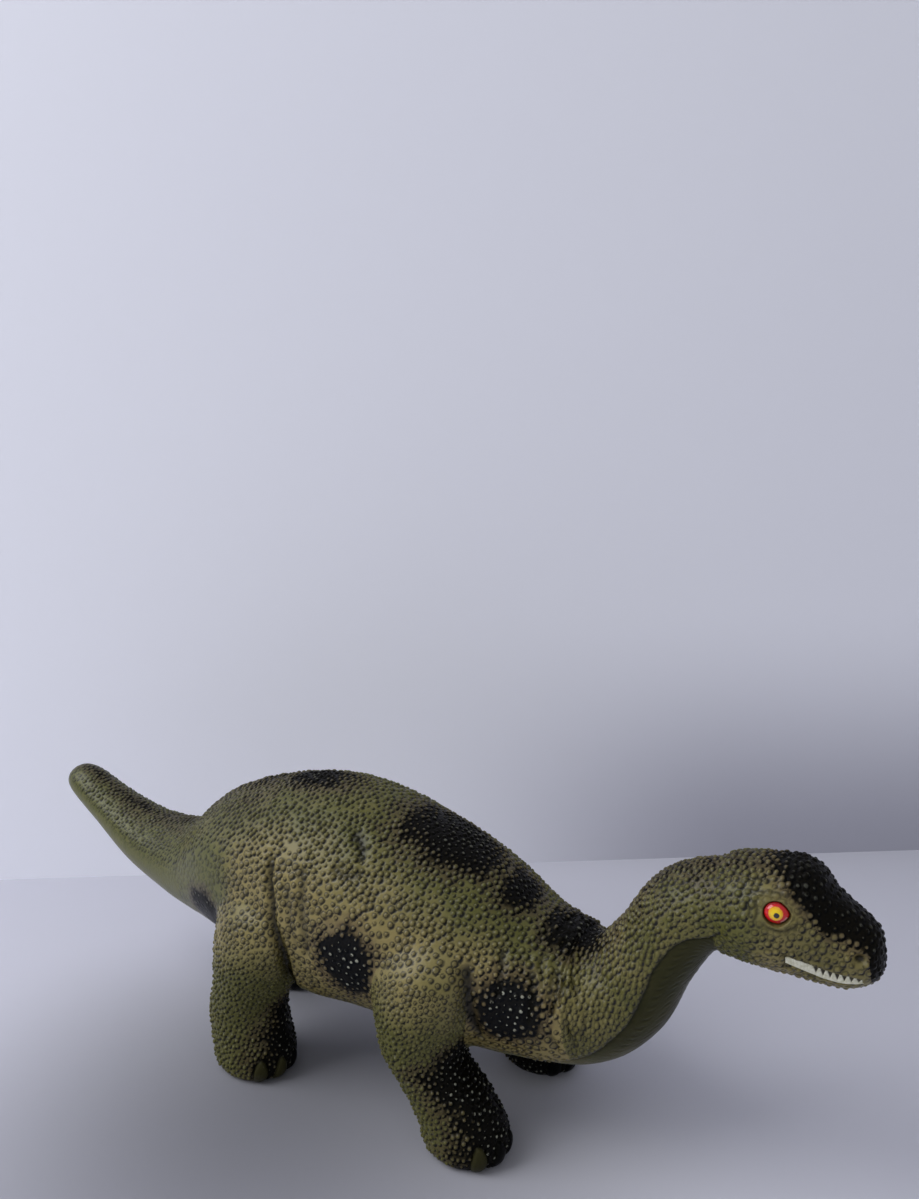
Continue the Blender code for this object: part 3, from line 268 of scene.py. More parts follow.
class NodeBuilder:
    """Short calls that add and link the nodes of one tree."""

    def __init__(self, tree: bpy.types.NodeTree) -> None:
        """Works in the given tree."""
        self.tree = tree

    @staticmethod
    def socket(sockets: bpy.types.bpy_prop_collection, key: str | int) -> Socket:
        """The socket with that number, or the one in use with that name."""
        if isinstance(key, int):
            return sockets[key]
        return next(found for found in sockets if found.name == key and found.enabled)

    def put(self, socket: Socket, value: object) -> None:
        """Links a socket or a node's first output to an input, or sets the input's value."""
        if isinstance(value, bpy.types.Node):
            value = next(found for found in value.outputs if found.enabled)
        if isinstance(value, Socket):
            self.tree.links.new(value, socket)
        else:
            socket.default_value = value

    def add(self, kind: str, inputs: dict | None = None, **settings: object) -> bpy.types.Node:
        """Adds a node.

        Args:
            kind: the node's type.
            inputs: values or sockets for its inputs, by name or number.
            settings: the node's own properties.

        Returns:
            The node.
        """
        node = self.tree.nodes.new(kind)
        for name, value in settings.items():
            setattr(node, name, value)
        for key, value in (inputs or {}).items():
            self.put(self.socket(node.inputs, key), value)
        return node

    def math(self, operation: str, *values: object) -> Socket:
        """One arithmetic node's result."""
        return self.add("ShaderNodeMath", dict(enumerate(values)), operation=operation).outputs[0]

    def times(self, first: object, second: object) -> Socket:
        """A product."""
        return self.math("MULTIPLY", first, second)

    def plus(self, first: object, second: object) -> Socket:
        """A sum."""
        return self.math("ADD", first, second)

    def minus(self, first: object, second: object) -> Socket:
        """A difference."""
        return self.math("SUBTRACT", first, second)

    def line(self, value: object, slope: object, start: object) -> Socket:
        """A value times a slope, plus a start."""
        return self.math("MULTIPLY_ADD", value, slope, start)

    def dot(self, first: object, second: object) -> Socket:
        """Two vectors' dot product."""
        return self.vector("DOT_PRODUCT", first, second, output="Value")

    def distance(self, first: object, second: object) -> Socket:
        """How far apart two places are."""
        return self.vector("DISTANCE", first, second, output="Value")

    def scaled(self, vector: object, factor: object) -> Socket:
        """A vector times a number."""
        return self.add("ShaderNodeVectorMath", {0: vector, "Scale": factor}, operation="SCALE").outputs[0]

    def place(self) -> Socket:
        """Where the shaded spot is, in its object's own metres."""
        return self.add("ShaderNodeTexCoord").outputs["Object"]

    def vector(self, operation: str, *values: object, output: str = "Vector") -> Socket:
        """One vector arithmetic node's result."""
        node = self.add("ShaderNodeVectorMath", dict(enumerate(values)), operation=operation)
        return node.outputs[output]

    def rise(self, value: object, low: object, high: object) -> Socket:
        """A smooth rise from 0 at low to 1 at high."""
        inputs = {"Value": value, "From Min": low, "From Max": high}
        return self.add("ShaderNodeMapRange", inputs, interpolation_type="SMOOTHSTEP").outputs[0]

    def mix(self, share: object, first: object, second: object) -> Socket:
        """A blend of two colours."""
        inputs = {0: share, 6: first, 7: second}
        return self.add("ShaderNodeMix", inputs, data_type="RGBA").outputs[2]

    def noise(self, place: object, scale: object, detail: float = 2.0) -> Socket:
        """A cloudy value about 0.5."""
        return self.add("ShaderNodeTexNoise", {"Vector": place, "Scale": scale, "Detail": detail}).outputs[0]

    def attribute(self, name: str) -> Socket:
        """A number stored on the shaded mesh."""
        return self.add("ShaderNodeAttribute", attribute_name=name).outputs["Fac"]


class Region(Enum):
    """The hide's regions, by the names of the solids that they stand for."""

    TORSO = "torso"
    TAIL = "tail"
    NECK = "neck"
    HEAD = "head"
    FRONT_RIGHT_LEG = "front_right_leg"
    FRONT_LEFT_LEG = "front_left_leg"
    HIND_RIGHT_LEG = "hind_right_leg"
    HIND_LEFT_LEG = "hind_left_leg"


@dataclass
class SpineForm:
    """The tail, torso and neck: oval sections along a path in the toy's middle plane."""

    # Along the toy, height, half width, reach up and reach down
    stations: tuple[tuple[float, ...], ...] = (
        (-270.0, 136.0, 3.2, 2.9, 2.9), (-265.9, 134.8, 9.0, 8.6, 8.6), (-255.0, 131.3, 13.0, 12.5, 11.5),
        (-227.8, 117.7, 16.9, 14.1, 13.8), (-193.8, 103.2, 22.7, 18.9, 19.2),
        (-159.8, 97.0, 28.8, 24.6, 25.6), (-134.0, 97.0, 36.0, 32.0, 32.0),
        (-97.3, 105.0, 49.0, 50.8, 49.5), (-63.3, 107.0, 56.4, 60.7, 56.8),
        (-24.0, 106.5, 60.1, 64.7, 59.4), (18.0, 100.0, 60.1, 59.4, 57.4), (59.9, 90.6, 54.6, 51.5, 52.1),
        (96.6, 82.5, 45.9, 37.6, 43.6), (128.0, 79.0, 38.0, 35.0, 35.0), (149.0, 89.0, 29.2, 29.3, 26.9),
        (165.5, 112.5, 23.9, 24.5, 20.6), (181.2, 136.6, 22.1, 24.0, 20.6),
        (203.0, 148.7, 20.2, 21.1, 20.6),
    )
    tail_root: float = -134.0
    neck_root: float = 128.0
    segments: int = 96
    steps: int = 10

    def curve(self) -> tuple[Array, Array, Array]:
        """Smooths the stations.

        Returns:
            Centres, unit directions along the path, and half width, reach up and reach down.
        """
        values, slopes = catmull_rom(np.array(self.stations), self.steps)
        centres = np.column_stack([values[:, 0], np.zeros(len(values)), values[:, 1]])
        along = np.column_stack([slopes[:, 0], np.zeros(len(values)), slopes[:, 1]])
        return centres, along / np.linalg.norm(along, axis=1)[:, None], values[:, 2:]

    def rings(self) -> list[Array]:
        """Rings across the path, each square to it."""
        across = np.array((0.0, 1.0, 0.0))
        made = []
        for centre, along, reach in zip(*self.curve()):
            made.append(centre + oval(across, np.cross(along, across), (*reach, 2.0), self.segments))
        return made

    def locate(self, points: Array) -> tuple[Array, Array, Array]:
        """Finds where points lie on the spine's surface.

        Args:
            points: places in millimetres.

        Returns:
            How far along the toy the nearest station is, the angle down from the back (0 on top, 180 under
            the belly), and the distance outwards from the oval surface.
        """
        centres, along, reach = self.curve()
        place = np.empty(len(points))
        angle, distance = np.empty(len(points)), np.empty(len(points))
        for start in range(0, len(points), 8000):
            part = points[start : start + 8000]
            gaps = part[:, None, ::2] - centres[None, :, ::2]
            nearest = np.argmin((gaps**2).sum(2), axis=1)
            offset = part - centres[nearest]
            step = (offset * along[nearest]).sum(1)
            beyond = np.clip(nearest + np.sign(step).astype(int), 0, len(centres) - 1)
            span = np.abs(((centres[beyond] - centres[nearest]) * along[nearest]).sum(1))
            share = np.where(span > 0, np.clip(np.abs(step) / np.maximum(span, 0.01), 0, 1), 0)[:, None]
            centre = centres[nearest] * (1 - share) + centres[beyond] * share
            sizes = reach[nearest] * (1 - share) + reach[beyond] * share
            path = along[nearest]
            rise = np.column_stack([-path[:, 2], np.zeros(len(part)), path[:, 0]])
            height = ((part - centre) * rise).sum(1)
            side = np.abs(part[:, 1])
            tall = np.where(height > 0, sizes[:, 1], sizes[:, 2])
            ratio = np.maximum(np.hypot(side / sizes[:, 0], height / tall), 0.001)
            end = slice(start, start + len(part))
            place[end] = centre[:, 0]
            angle[end] = np.degrees(np.arctan2(side / sizes[:, 0], height / tall))
            past = np.maximum(np.abs(step) - span, 0) * (span < 0.01)
            distance[end] = (1 - 1 / ratio) * np.hypot(side, height) + past
        return place, angle, distance


@dataclass
class HeadForm:
    """The skull: upright squarish sections from its back to the nose."""

    # Along the toy, height, half width, reach up, reach down and power
    stations: tuple[tuple[float, ...], ...] = (
        (187.5, 148.0, 7.4, 7.6, 8.7, 2.0), (191.6, 148.0, 17.0, 16.3, 19.6, 2.0),
        (199.7, 148.0, 23.3, 22.4, 25.5, 2.1), (211.8, 147.6, 26.5, 25.5, 25.5, 2.2),
        (223.9, 146.4, 26.2, 27.8, 24.7, 2.3), (233.7, 144.6, 23.6, 30.3, 23.7, 2.3),
        (240.6, 142.5, 20.7, 29.1, 22.7, 2.3), (246.6, 141.0, 18.5, 22.7, 21.9, 2.3),
        (253.9, 139.2, 16.4, 18.9, 19.9, 2.3), (261.2, 137.3, 13.8, 15.8, 15.3, 2.2),
        (265.9, 136.3, 10.3, 12.0, 10.7, 2.1), (268.5, 135.0, 4.2, 5.1, 4.6, 2.0),
    )
    segments: int = 80
    steps: int = 6

    def curve(self) -> Array:
        """The smoothed stations, from the back of the skull to the nose."""
        return catmull_rom(np.array(self.stations), self.steps)[0]

    def rings(self) -> list[Array]:
        """Upright rings across the skull."""
        across, rise = np.array((0.0, 1.0, 0.0)), np.array((0.0, 0.0, 1.0))
        made = []
        for x, z, *reach in self.curve():
            made.append(np.array((x, 0.0, z)) + oval(across, rise, reach, self.segments))
        return made

    def sizes(self, x: Array) -> list[Array]:
        """Centre height, half width, reach up, reach down and power at places along the skull."""
        rows = self.curve()
        return [np.interp(x, rows[:, 0], rows[:, i]) for i in range(1, 6)]

    def distance(self, points: Array) -> Array:
        """How far points lie outside the skull's surface, negative inside it."""
        z, half, up, down, power = self.sizes(points[:, 0])
        side, height = np.abs(points[:, 1]), points[:, 2] - z
        tall = np.where(height > 0, up, down)
        ratio = (np.abs(side / half) ** power + np.abs(height / tall) ** power) ** (1 / power)
        ratio = np.maximum(ratio, 0.001)
        past = np.maximum(self.stations[0][0] - points[:, 0], 0)
        past = np.maximum(past, points[:, 0] - self.stations[-1][0])
        return (1 - 1 / ratio) * np.hypot(side, height) + past

    def side_at(self, x: Array, height: Array) -> Array:
        """How far out the skull's side is at places along it and heights on it."""
        z, half, up, down, power = self.sizes(x)
        tall = np.where(height > z, up, down)
        share = np.clip(1 - np.abs((height - z) / tall) ** power, 0, 1)
        return half * share ** (1 / power)


@dataclass
class LegForm:
    """One leg: level oval sections from the sole into the torso, with three toes."""

    region: Region
    foot: tuple[float, float]
    stride: float
    # Height, lean, half length, half width and move outward
    rows: tuple[tuple[float, ...], ...]
    # The edge of the black, which is paint and also painted shade on the leg's front and inner side: height
    # and the angle outwards from the leg's front
    black_edge: tuple[tuple[float, float], ...]
    nail_angles: tuple[float, ...] = (-48.0, -16.0, 16.0, 48.0)
    nail_height: float = 7.0
    nail_reach: tuple[float, float] = (4.2, 8.0)
    segments: int = 64
    steps: int = 5

    @property
    def side(self) -> float:
        """-1 on the right and 1 on the left."""
        return math.copysign(1, self.foot[1])

    def curve(self) -> Array:
        """Height, centre along, centre across, half length and half width up the leg."""
        z, back, length, width, outward = catmull_rom(np.array(self.rows), self.steps)[0].T
        x = self.foot[0] + back - self.stride * z / self.rows[-1][0]
        return np.column_stack([z, x, self.foot[1] + self.side * outward, length, width])

    def rings(self) -> list[Array]:
        """Level rings up the leg."""
        length, width = np.array((1.0, 0.0, 0.0)), np.array((0.0, 1.0, 0.0))
        made = []
        for z, x, y, long, wide in self.curve():
            made.append(np.array((x, y, z)) + oval(length, width, (long, wide, wide, 2.0), self.segments))
        return made

    def section(self, points: Array) -> list[Array]:
        """Centre along, centre across, half length and half width at the heights of points."""
        rows = self.curve()
        return [np.interp(points[:, 2], rows[:, 0], rows[:, i]) for i in range(1, 5)]

    def distance(self, points: Array) -> Array:
        """How far points lie outside the leg's surface."""
        x, y, long, wide = self.section(points)
        dx, dy = points[:, 0] - x, points[:, 1] - y
        ratio = np.maximum(np.hypot(dx / long, dy / wide), 0.001)
        return (1 - 1 / ratio) * np.hypot(dx, dy) + np.maximum(points[:, 2] - self.rows[-1][0], 0)

    def turn(self, points: Array) -> Array:
        """The angle of points round the leg: 0 at its front, positive on its outer side, to 180 behind."""
        x, y, long, wide = self.section(points)
        outward = (points[:, 1] - y) * self.side / wide
        return np.degrees(np.arctan2(outward, (points[:, 0] - x) / long))

    def nail_share(self, points: Array) -> Array:
        """How far out points are from the nearest toenail's middle: 1 on its edge."""
        turn = self.turn(points)
        up = (points[:, 2] - self.nail_height) / self.nail_reach[1]
        around = np.min([np.abs(turn - angle) for angle in self.nail_angles], axis=0)
        width = self.nail_reach[0] * (1 - 0.22 * np.clip(up, -1, 1))
        return np.hypot(np.radians(around) * self.rows[2][2] * 0.9 / width, up)

    def paint(self, points: Array) -> Array:
        """How deep inside the leg's black points are, 0 at its edge; the black is paint with painted shade
        on the leg's front and inner side.
        """
        edge = np.array(self.black_edge)
        turn = self.turn(points)
        limit = np.interp(points[:, 2], edge[:, 0], edge[:, 1])
        return np.clip(np.minimum((limit - turn) / 62, (turn + 135) / 62) + 0.05, -1, 1.2)


FRONT_ROWS = (
    (0.0, 0.0, 18.6, 16.2, 0.0), (5.6, 0.0, 23.6, 19.4, 0.0), (15.7, -1.3, 24.8, 20.0, 0.0),
    (33.6, -11.7, 24.2, 20.0, 1.1), (44.8, -21.3, 22.3, 20.8, 1.6), (56.0, -26.0, 22.3, 22.1, 1.6),
    (78.4, -24.4, 27.9, 25.4, 0.5), (98.6, -23.4, 29.1, 24.3, -4.3), (112.0, -22.9, 21.1, 16.2, -8.6),
)
FRONT_BLACK = (
    (0.0, 92.0), (12.0, 84.0), (17.0, 78.0), (24.0, 66.0), (31.0, 68.0), (40.0, 78.0), (46.0, 76.0),
    (52.0, 58.0), (60.0, 24.0), (68.0, -14.0), (78.0, -55.0), (92.0, -150.0),
)
HIND_BLACK = (
    (0.0, 62.0), (15.0, 56.0), (28.0, 48.0), (40.0, 28.0), (46.0, 10.0), (56.0, -24.0), (66.0, -60.0),
    (80.0, -110.0), (95.0, -150.0),
)
HIND_ROWS = (
    (0.0, 0.0, 19.6, 16.8, 0.0), (5.8, 0.3, 25.2, 19.6, 0.0), (16.2, 0.0, 26.6, 20.2, 0.0),
    (34.8, -2.1, 24.8, 20.2, 1.1), (46.4, -0.7, 22.8, 21.8, 1.7), (58.0, 3.5, 24.1, 23.5, 1.7),
    (81.2, 11.2, 30.8, 26.9, 0.6), (102.1, 14.0, 32.9, 25.8, -4.5), (116.0, 15.4, 23.8, 17.4, -9.0),
)


class Surface:
    """A mesh of four-cornered faces kept as arrays."""

    def __init__(self, points: Array, faces: Array) -> None:
        """Holds corners in millimetres and faces."""
        self.points = points
        self.faces = faces

    def edges(self) -> Array:
        """Each edge once, as two corner numbers."""
        pairs = np.concatenate([self.faces[:, [i, (i + 1) % 4]] for i in range(4)])
        return np.unique(np.sort(pairs, axis=1), axis=0)

    def relax(self, rounds: int, weight: Array | float, swell: bool = False) -> None:
        """Draws each corner towards its neighbours.

        Args:
            rounds: how often.
            weight: how strongly, from 0 to 1, for each corner or for all.
            swell: whether every other round pushes back, which keeps the volume.
        """
        a, b = self.edges().T
        count = len(self.points)
        near = np.bincount(a, minlength=count) + np.bincount(b, minlength=count)
        for number in range(rounds):
            total = np.empty_like(self.points)
            for axis in range(3):
                line = self.points[:, axis]
                total[:, axis] = np.bincount(a, line[b], count) + np.bincount(b, line[a], count)
            pull = (total / near[:, None] - self.points) * 0.5
            if swell and number % 2:
                pull *= -1.06
            self.points += pull * (weight[:, None] if isinstance(weight, np.ndarray) else weight)

    def normals(self) -> Array:
        """One outward direction for each corner."""
        a, b, c, d = [self.points[self.faces[:, i]] for i in range(4)]
        face = np.cross(c - a, d - b)
        made = np.empty_like(self.points)
        corners = self.faces.ravel()
        for axis in range(3):
            made[:, axis] = np.bincount(corners, np.repeat(face[:, axis], 4), len(self.points))
        return made / np.maximum(np.linalg.norm(made, axis=1), 1e-9)[:, None]


@dataclass(frozen=True)
class Crease:
    """A fold pressed into both sides of the hide along a line, as seen square to the toy's side."""

    # Along the toy and height
    line: tuple[tuple[float, float], ...]
    depth: float
    width: float
    # How far out from the toy's middle the fold's side of the hide starts
    side: float = 30.0

    def press(self, points: Array) -> tuple[Array, Array]:
        """Measures the fold.

        Args:
            points: corners of the hide.

        Returns:
            How far each corner moves outward, and how much painted shade the fold gets there.
        """
        flat = points[:, ::2]
        line = catmull_rom(np.array(self.line), 6)[0]
        least = np.full(len(points), 1e9)
        share = np.zeros(len(points))
        for i, (a, b) in enumerate(zip(line, line[1:])):
            way = b - a
            t = np.clip(((flat - a) @ way) / (way @ way), 0, 1)
            gap = np.linalg.norm(flat - a - t[:, None] * way, axis=1)
            closer = gap < least
            least = np.where(closer, gap, least)
            share = np.where(closer, (i + t) / (len(line) - 1), share)
        fade = smoothstep(0, 0.14, share) * smoothstep(1, 0.86, share)
        fade *= smoothstep(self.side, self.side + 4, np.abs(points[:, 1]))
        return pressed(self.depth, self.width, CREASE_LIP, least, fade)


@dataclass(frozen=True)
class Fold:
    """A fold round the spine, at one place along it."""

    along: float
    first: float
    last: float
    depth: float
    width: float
    slant: float = 0.0

    def press(self, along: Array, angle: Array) -> tuple[Array, Array]:
        """Measures the fold.

        Args:
            along: how far along the toy each corner is.
            angle: each corner's angle down from the back.

        Returns:
            How far each corner moves outward, and how much painted shade the fold gets there.
        """
        wander = 1.7 * np.sin(angle / 9 + self.along) + 0.9 * np.sin(angle / 4.1 + 2 * self.along)
        wander += self.slant * (angle - self.first) / 40
        gap = along - self.along - wander
        fade = smoothstep(self.first - 12, self.first + 12, angle)
        fade = fade * smoothstep(self.last + 12, self.last - 12, angle)
        fade = fade * (0.65 + 0.35 * np.sin(angle / 6.3 + 3 * self.along))
        return pressed(self.depth, self.width, FOLD_LIP, np.abs(gap), fade)


@dataclass(frozen=True)
class LidLine:
    """A fold beside the eye, along places in the eye's own frame: towards the nose and up."""

    line: tuple[tuple[float, float], ...]
    depth: float
    width: float

    def press(self, local: Array) -> tuple[Array, Array]:
        """Measures the fold.

        Args:
            local: corners in the eye's frame.

        Returns:
            How far each corner moves outward, and how much painted shade the fold gets there.
        """
        line = catmull_rom(np.array(self.line), 6)[0]
        gaps = np.linalg.norm(local[:, None, :2] - line[None], axis=2)
        nearest = gaps.argmin(1)
        least = gaps.min(1)
        share = nearest / (len(line) - 1)
        fade = smoothstep(-0.02, 0.2, share) * smoothstep(1.02, 0.8, share)
        return pressed(self.depth, self.width, LID_LIP, least, fade)


@dataclass(frozen=True)
class Patch:
    """A sprayed patch of black paint, oval in each direction. A mirrored one is on both sides."""

    centre: tuple[float, float, float]
    reach: tuple[float, float, float]
    strength: float = 1.0

    def depth(self, points: Array) -> Array:
        """How deep inside the patch points are: 1 at its middle, 0 at its edge and less outside."""
        return self.strength - np.linalg.norm((on_right(points) - self.centre) / self.reach, axis=1)


@dataclass
class EyeForm:
    """The eye insert: an almond dome that is pointed towards the nose."""

    centre: tuple[float, float, float] = (224.5, -23.0, 156.8)
    toe_in: float = math.radians(14)
    half_length: float = 5.6
    half_height: float = 4.9
    dome: float = 3.6
    rings: int = 14
    segments: int = 64

    def matrix(self) -> Matrix:
        """The right eye's place: its own +X points to the nose, +Y up and +Z out of the head."""
        turn = Matrix.Rotation(self.toe_in, 4, "Z") @ Matrix.Rotation(math.pi / 2, 4, "X")
        return Matrix.Translation(self.centre) @ turn

    def local(self, points: Array) -> Array:
        """Places on either side of the head in the right eye's own frame."""
        turned = np.array(self.matrix().inverted())
        return on_right(points) @ turned[:3, :3].T + turned[:3, 3]

    def share(self, x: Array, y: Array) -> Array:
        """How far out places are: 0 at the eye's middle and 1 on its almond outline."""
        u, v = np.abs(x) / self.half_length, np.abs(y) / self.half_height
        pointed = (u**1.55 + v**1.55) ** (1 / 1.55)
        round_ = np.hypot(u, v)
        blend = smoothstep(-1.0, 3.0, x)
        return round_ * (1 - blend) + pointed * blend


@dataclass
class MouthForm:
    """The painted mouth band along each side of the snout."""

    # Along the toy, upper edge and lower edge
    edges: tuple[tuple[float, float, float], ...] = (
        (229.6, 136.4, 134.2), (231.0, 136.8, 133.4), (234.5, 136.0, 131.8), (239.2, 134.2, 129.6),
        (244.3, 132.2, 127.2), (250.5, 130.6, 125.8), (255.1, 130.0, 125.9), (258.4, 129.2, 126.2),
        (260.4, 128.4, 127.0),
    )
    # How deep the hide's groove is, and how far the band lies under the skull's surface
    groove: float = 1.5
    inset: float = 0.45

    def limits(self, x: Array) -> tuple[Array, Array]:
        """The band's upper and lower heights at places along the snout."""
        rows = np.array(self.edges)
        return np.interp(x, rows[:, 0], rows[:, 1]), np.interp(x, rows[:, 0], rows[:, 2])

    def inside(self, points: Array) -> Array:
        """1 in the band, falling to 0 just outside it."""
        high, low = self.limits(points[:, 0])
        rise = smoothstep(-0.5, 0.4, np.minimum(high - points[:, 2], points[:, 2] - low))
        ends = smoothstep(229.3, 230.6, points[:, 0]) * smoothstep(260.8, 259.6, points[:, 0])
        return rise * ends


@dataclass(frozen=True)
class VinylFinish:
    """The painted vinyl of the hide, with painted shade in its hollows and folds and painted glints on some
    pebble tips.
    """

    olive: Colour = colour("5a5926")
    tan: Colour = colour("8f8150")
    tip: Colour = colour("a39b6c")
    smooth_olive: Colour = colour("595b2b")
    # The throat band's dark olive, darkened further as painted shade
    throat: Colour = colour("191c0b")
    # Painted shade, with some dark wash, in the hollows between pebbles; also the folds' painted shade
    valley_shade: Colour = colour("100f08")
    halo: Colour = colour("463129")
    black: Colour = colour("030303")
    patch_black: Colour = colour("0b0e12")
    # Pale pebble tips in the black: worn paint and painted glints
    wear_and_glint_tip: Colour = colour("babcaa")
    nail: Colour = colour("35331d")
    roughness: float = 0.31
    gloss_roughness: float = 0.30

    def material(self) -> Material:
        """Builds the paint from the hide's stored masks.

        Returns:
            The material.
        """
        made, nodes, shader = new_material("painted_vinyl")
        place = nodes.place()
        grain = mottled(nodes, 620.0)
        tone = grain.outputs["Tone"]
        cloud = nodes.noise(place, 38.0, 3.0)
        spray = nodes.noise(place, 260.0, 4.0)
        dome, ring, pit = [nodes.attribute(name) for name in ("dome", "ring", "pit")]
        pits, nail = nodes.attribute("pits"), nodes.attribute("nail")

        drift = nodes.times(nodes.minus(cloud, 0.5), 1.4)
        base = nodes.mix(nodes.plus(nodes.attribute("tan"), drift), self.olive, self.tan)
        base = nodes.mix(nodes.attribute("smooth"), base, self.smooth_olive)
        base = nodes.mix(nodes.times(tone, 0.12), base, self.tip)
        speckle = nodes.times(nodes.minus(spray, 0.5), 0.7)
        speckle = nodes.line(nodes.minus(nodes.noise(place, 95.0), 0.5), 0.9, speckle)
        low = nodes.minus(nodes.times(pit, 0.8), dome)
        low = nodes.times(nodes.times(low, nodes.attribute("clear")), 0.44)
        edge = nodes.plus(nodes.plus(nodes.attribute("paint"), speckle), low)
        base = nodes.mix(nodes.times(nodes.rise(edge, -0.62, 0.02), 0.56), base, self.halo)

        # Painted shade with some dark wash: dark rings round the pebbles, a painted shadow in the hollow
        # beside each, and darker discs where pits are few
        thin = nodes.times(ring, nodes.line(pits, -0.40, 0.96))
        side = nodes.times(pit, nodes.line(pits, 0.05, 0.95))
        disc = nodes.times(dome, nodes.line(pits, -0.46, 0.42))
        groove = nodes.math("MAXIMUM", nodes.math("MAXIMUM", thin, side), disc)
        shade = nodes.times(groove, nodes.line(nodes.rise(spray, 0.22, 0.50), 0.35, 0.65))
        shade = nodes.times(shade, nodes.rise(nodes.attribute("clear"), 0.1, 0.6))
        base = nodes.mix(shade, base, self.valley_shade)
        # The throat band's colour, with painted shade that deepens high on the throat where the band faces
        # down
        base = nodes.mix(nodes.attribute("throat"), base, self.throat)
        black = nodes.rise(edge, -0.14, 0.34)
        coat = nodes.mix(nodes.rise(nodes.attribute("worn"), 0.68, 0.88), self.black, self.patch_black)
        base = nodes.mix(nodes.times(black, 0.97), base, coat)
        # Painted shade in the folds, creases, nostrils, nail grooves and round the eye sockets
        base = nodes.mix(nodes.times(nodes.attribute("fold"), 0.9), base, self.valley_shade)
        # Pale tips on the pebbles in the black: partly worn paint, partly painted glints
        wear_and_glint = nodes.times(nodes.rise(dome, 0.70, 0.90), nodes.attribute("worn"))
        wear_and_glint = nodes.times(wear_and_glint, nodes.rise(nodes.noise(place, 420.0), 0.40, 0.56))
        base = nodes.mix(nodes.times(wear_and_glint, nodes.times(black, 0.8)), base, self.wear_and_glint_tip)
        claw = nodes.mix(nodes.rise(nodes.attribute("paint"), 0.7, 1.1), self.nail, self.black)
        base = nodes.mix(nail, base, claw)
        nodes.put(shader.inputs["Base Color"], base)

        rough = nodes.line(black, self.gloss_roughness - self.roughness, self.roughness)
        nodes.put(shader.inputs["Roughness"], nodes.line(tone, 0.10, rough))
        dull = nodes.math("MAXIMUM", black, nodes.attribute("throat"))
        nodes.put(shader.inputs["Specular IOR Level"], nodes.line(dull, -0.26, 0.33))
        bump = nodes.add("ShaderNodeBump", {"Strength": 0.40, "Distance": 0.0004})
        nodes.put(bump.inputs["Height"], grain.outputs["Grain"])
        nodes.put(shader.inputs["Normal"], bump)
        return made


@dataclass(frozen=True)
class PlainFinish:
    """A moulded, pressed or plated finish with a fine grain."""

    name: str
    code: str
    dark_code: str
    roughness: float
    metallic: float = 0.0
    grain_scale: float = 900.0
    grain_depth: float = 0.00005

    def material(self) -> Material:
        """Builds the finish.

        Returns:
            The material.
        """
        made, nodes, shader = new_material(self.name)
        grain = mottled(nodes, self.grain_scale)
        tone = nodes.mix(grain.outputs["Tone"], colour(self.code), colour(self.dark_code))
        nodes.put(shader.inputs["Base Color"], tone)
        rough = nodes.line(grain.outputs["Tone"], 0.14, self.roughness)
        nodes.put(shader.inputs["Roughness"], rough)
        shader.inputs["Metallic"].default_value = self.metallic
        bump = nodes.add("ShaderNodeBump", {"Strength": 0.5, "Height": grain.outputs["Grain"]})
        nodes.put(bump.inputs["Distance"], self.grain_depth)
        nodes.put(shader.inputs["Normal"], bump)
        return made


def new_material(name: str) -> tuple[Material, NodeBuilder, bpy.types.Node]:
    """Starts a material.

    Args:
        name: the material's name.

    Returns:
        The material, a builder for its nodes and its Principled shader.
    """
    made = bpy.data.materials.new(name)
    made.use_nodes = True
    return made, NodeBuilder(made.node_tree), made.node_tree.nodes["Principled BSDF"]


def mottle_group() -> bpy.types.NodeTree:
    """The fine mottling that every moulded or plated surface here shows, made once.

    Returns:
        A group that takes a place and a scale, and gives a tone from 0 to 1 and a grain height.
    """
    found = bpy.data.node_groups.get("mottle")
    if found:
        return found
    tree = bpy.data.node_groups.new("mottle", "ShaderNodeTree")
    tree.interface.new_socket("Place", in_out="INPUT", socket_type="NodeSocketVector")
    tree.interface.new_socket("Scale", in_out="INPUT", socket_type="NodeSocketFloat")
    tree.interface.new_socket("Tone", in_out="OUTPUT", socket_type="NodeSocketFloat")
    tree.interface.new_socket("Grain", in_out="OUTPUT", socket_type="NodeSocketFloat")
    nodes = NodeBuilder(tree)
    given = nodes.add("NodeGroupInput")
    wide = nodes.times(given.outputs["Scale"], 0.35)
    cloud = nodes.noise(given.outputs["Place"], wide, 3.0)
    fine = nodes.noise(given.outputs["Place"], given.outputs["Scale"])
    out = nodes.add("NodeGroupOutput")
    nodes.put(out.inputs["Tone"], nodes.rise(cloud, 0.32, 0.72))
    nodes.put(out.inputs["Grain"], fine)
    return tree


def mottled(nodes: NodeBuilder, scale: float) -> bpy.types.Node:
    """Adds the mottling to a material, at the given scale."""
    grain = nodes.add("ShaderNodeGroup", node_tree=mottle_group())
    nodes.put(grain.inputs["Place"], nodes.place())
    nodes.put(grain.inputs["Scale"], scale)
    return grain


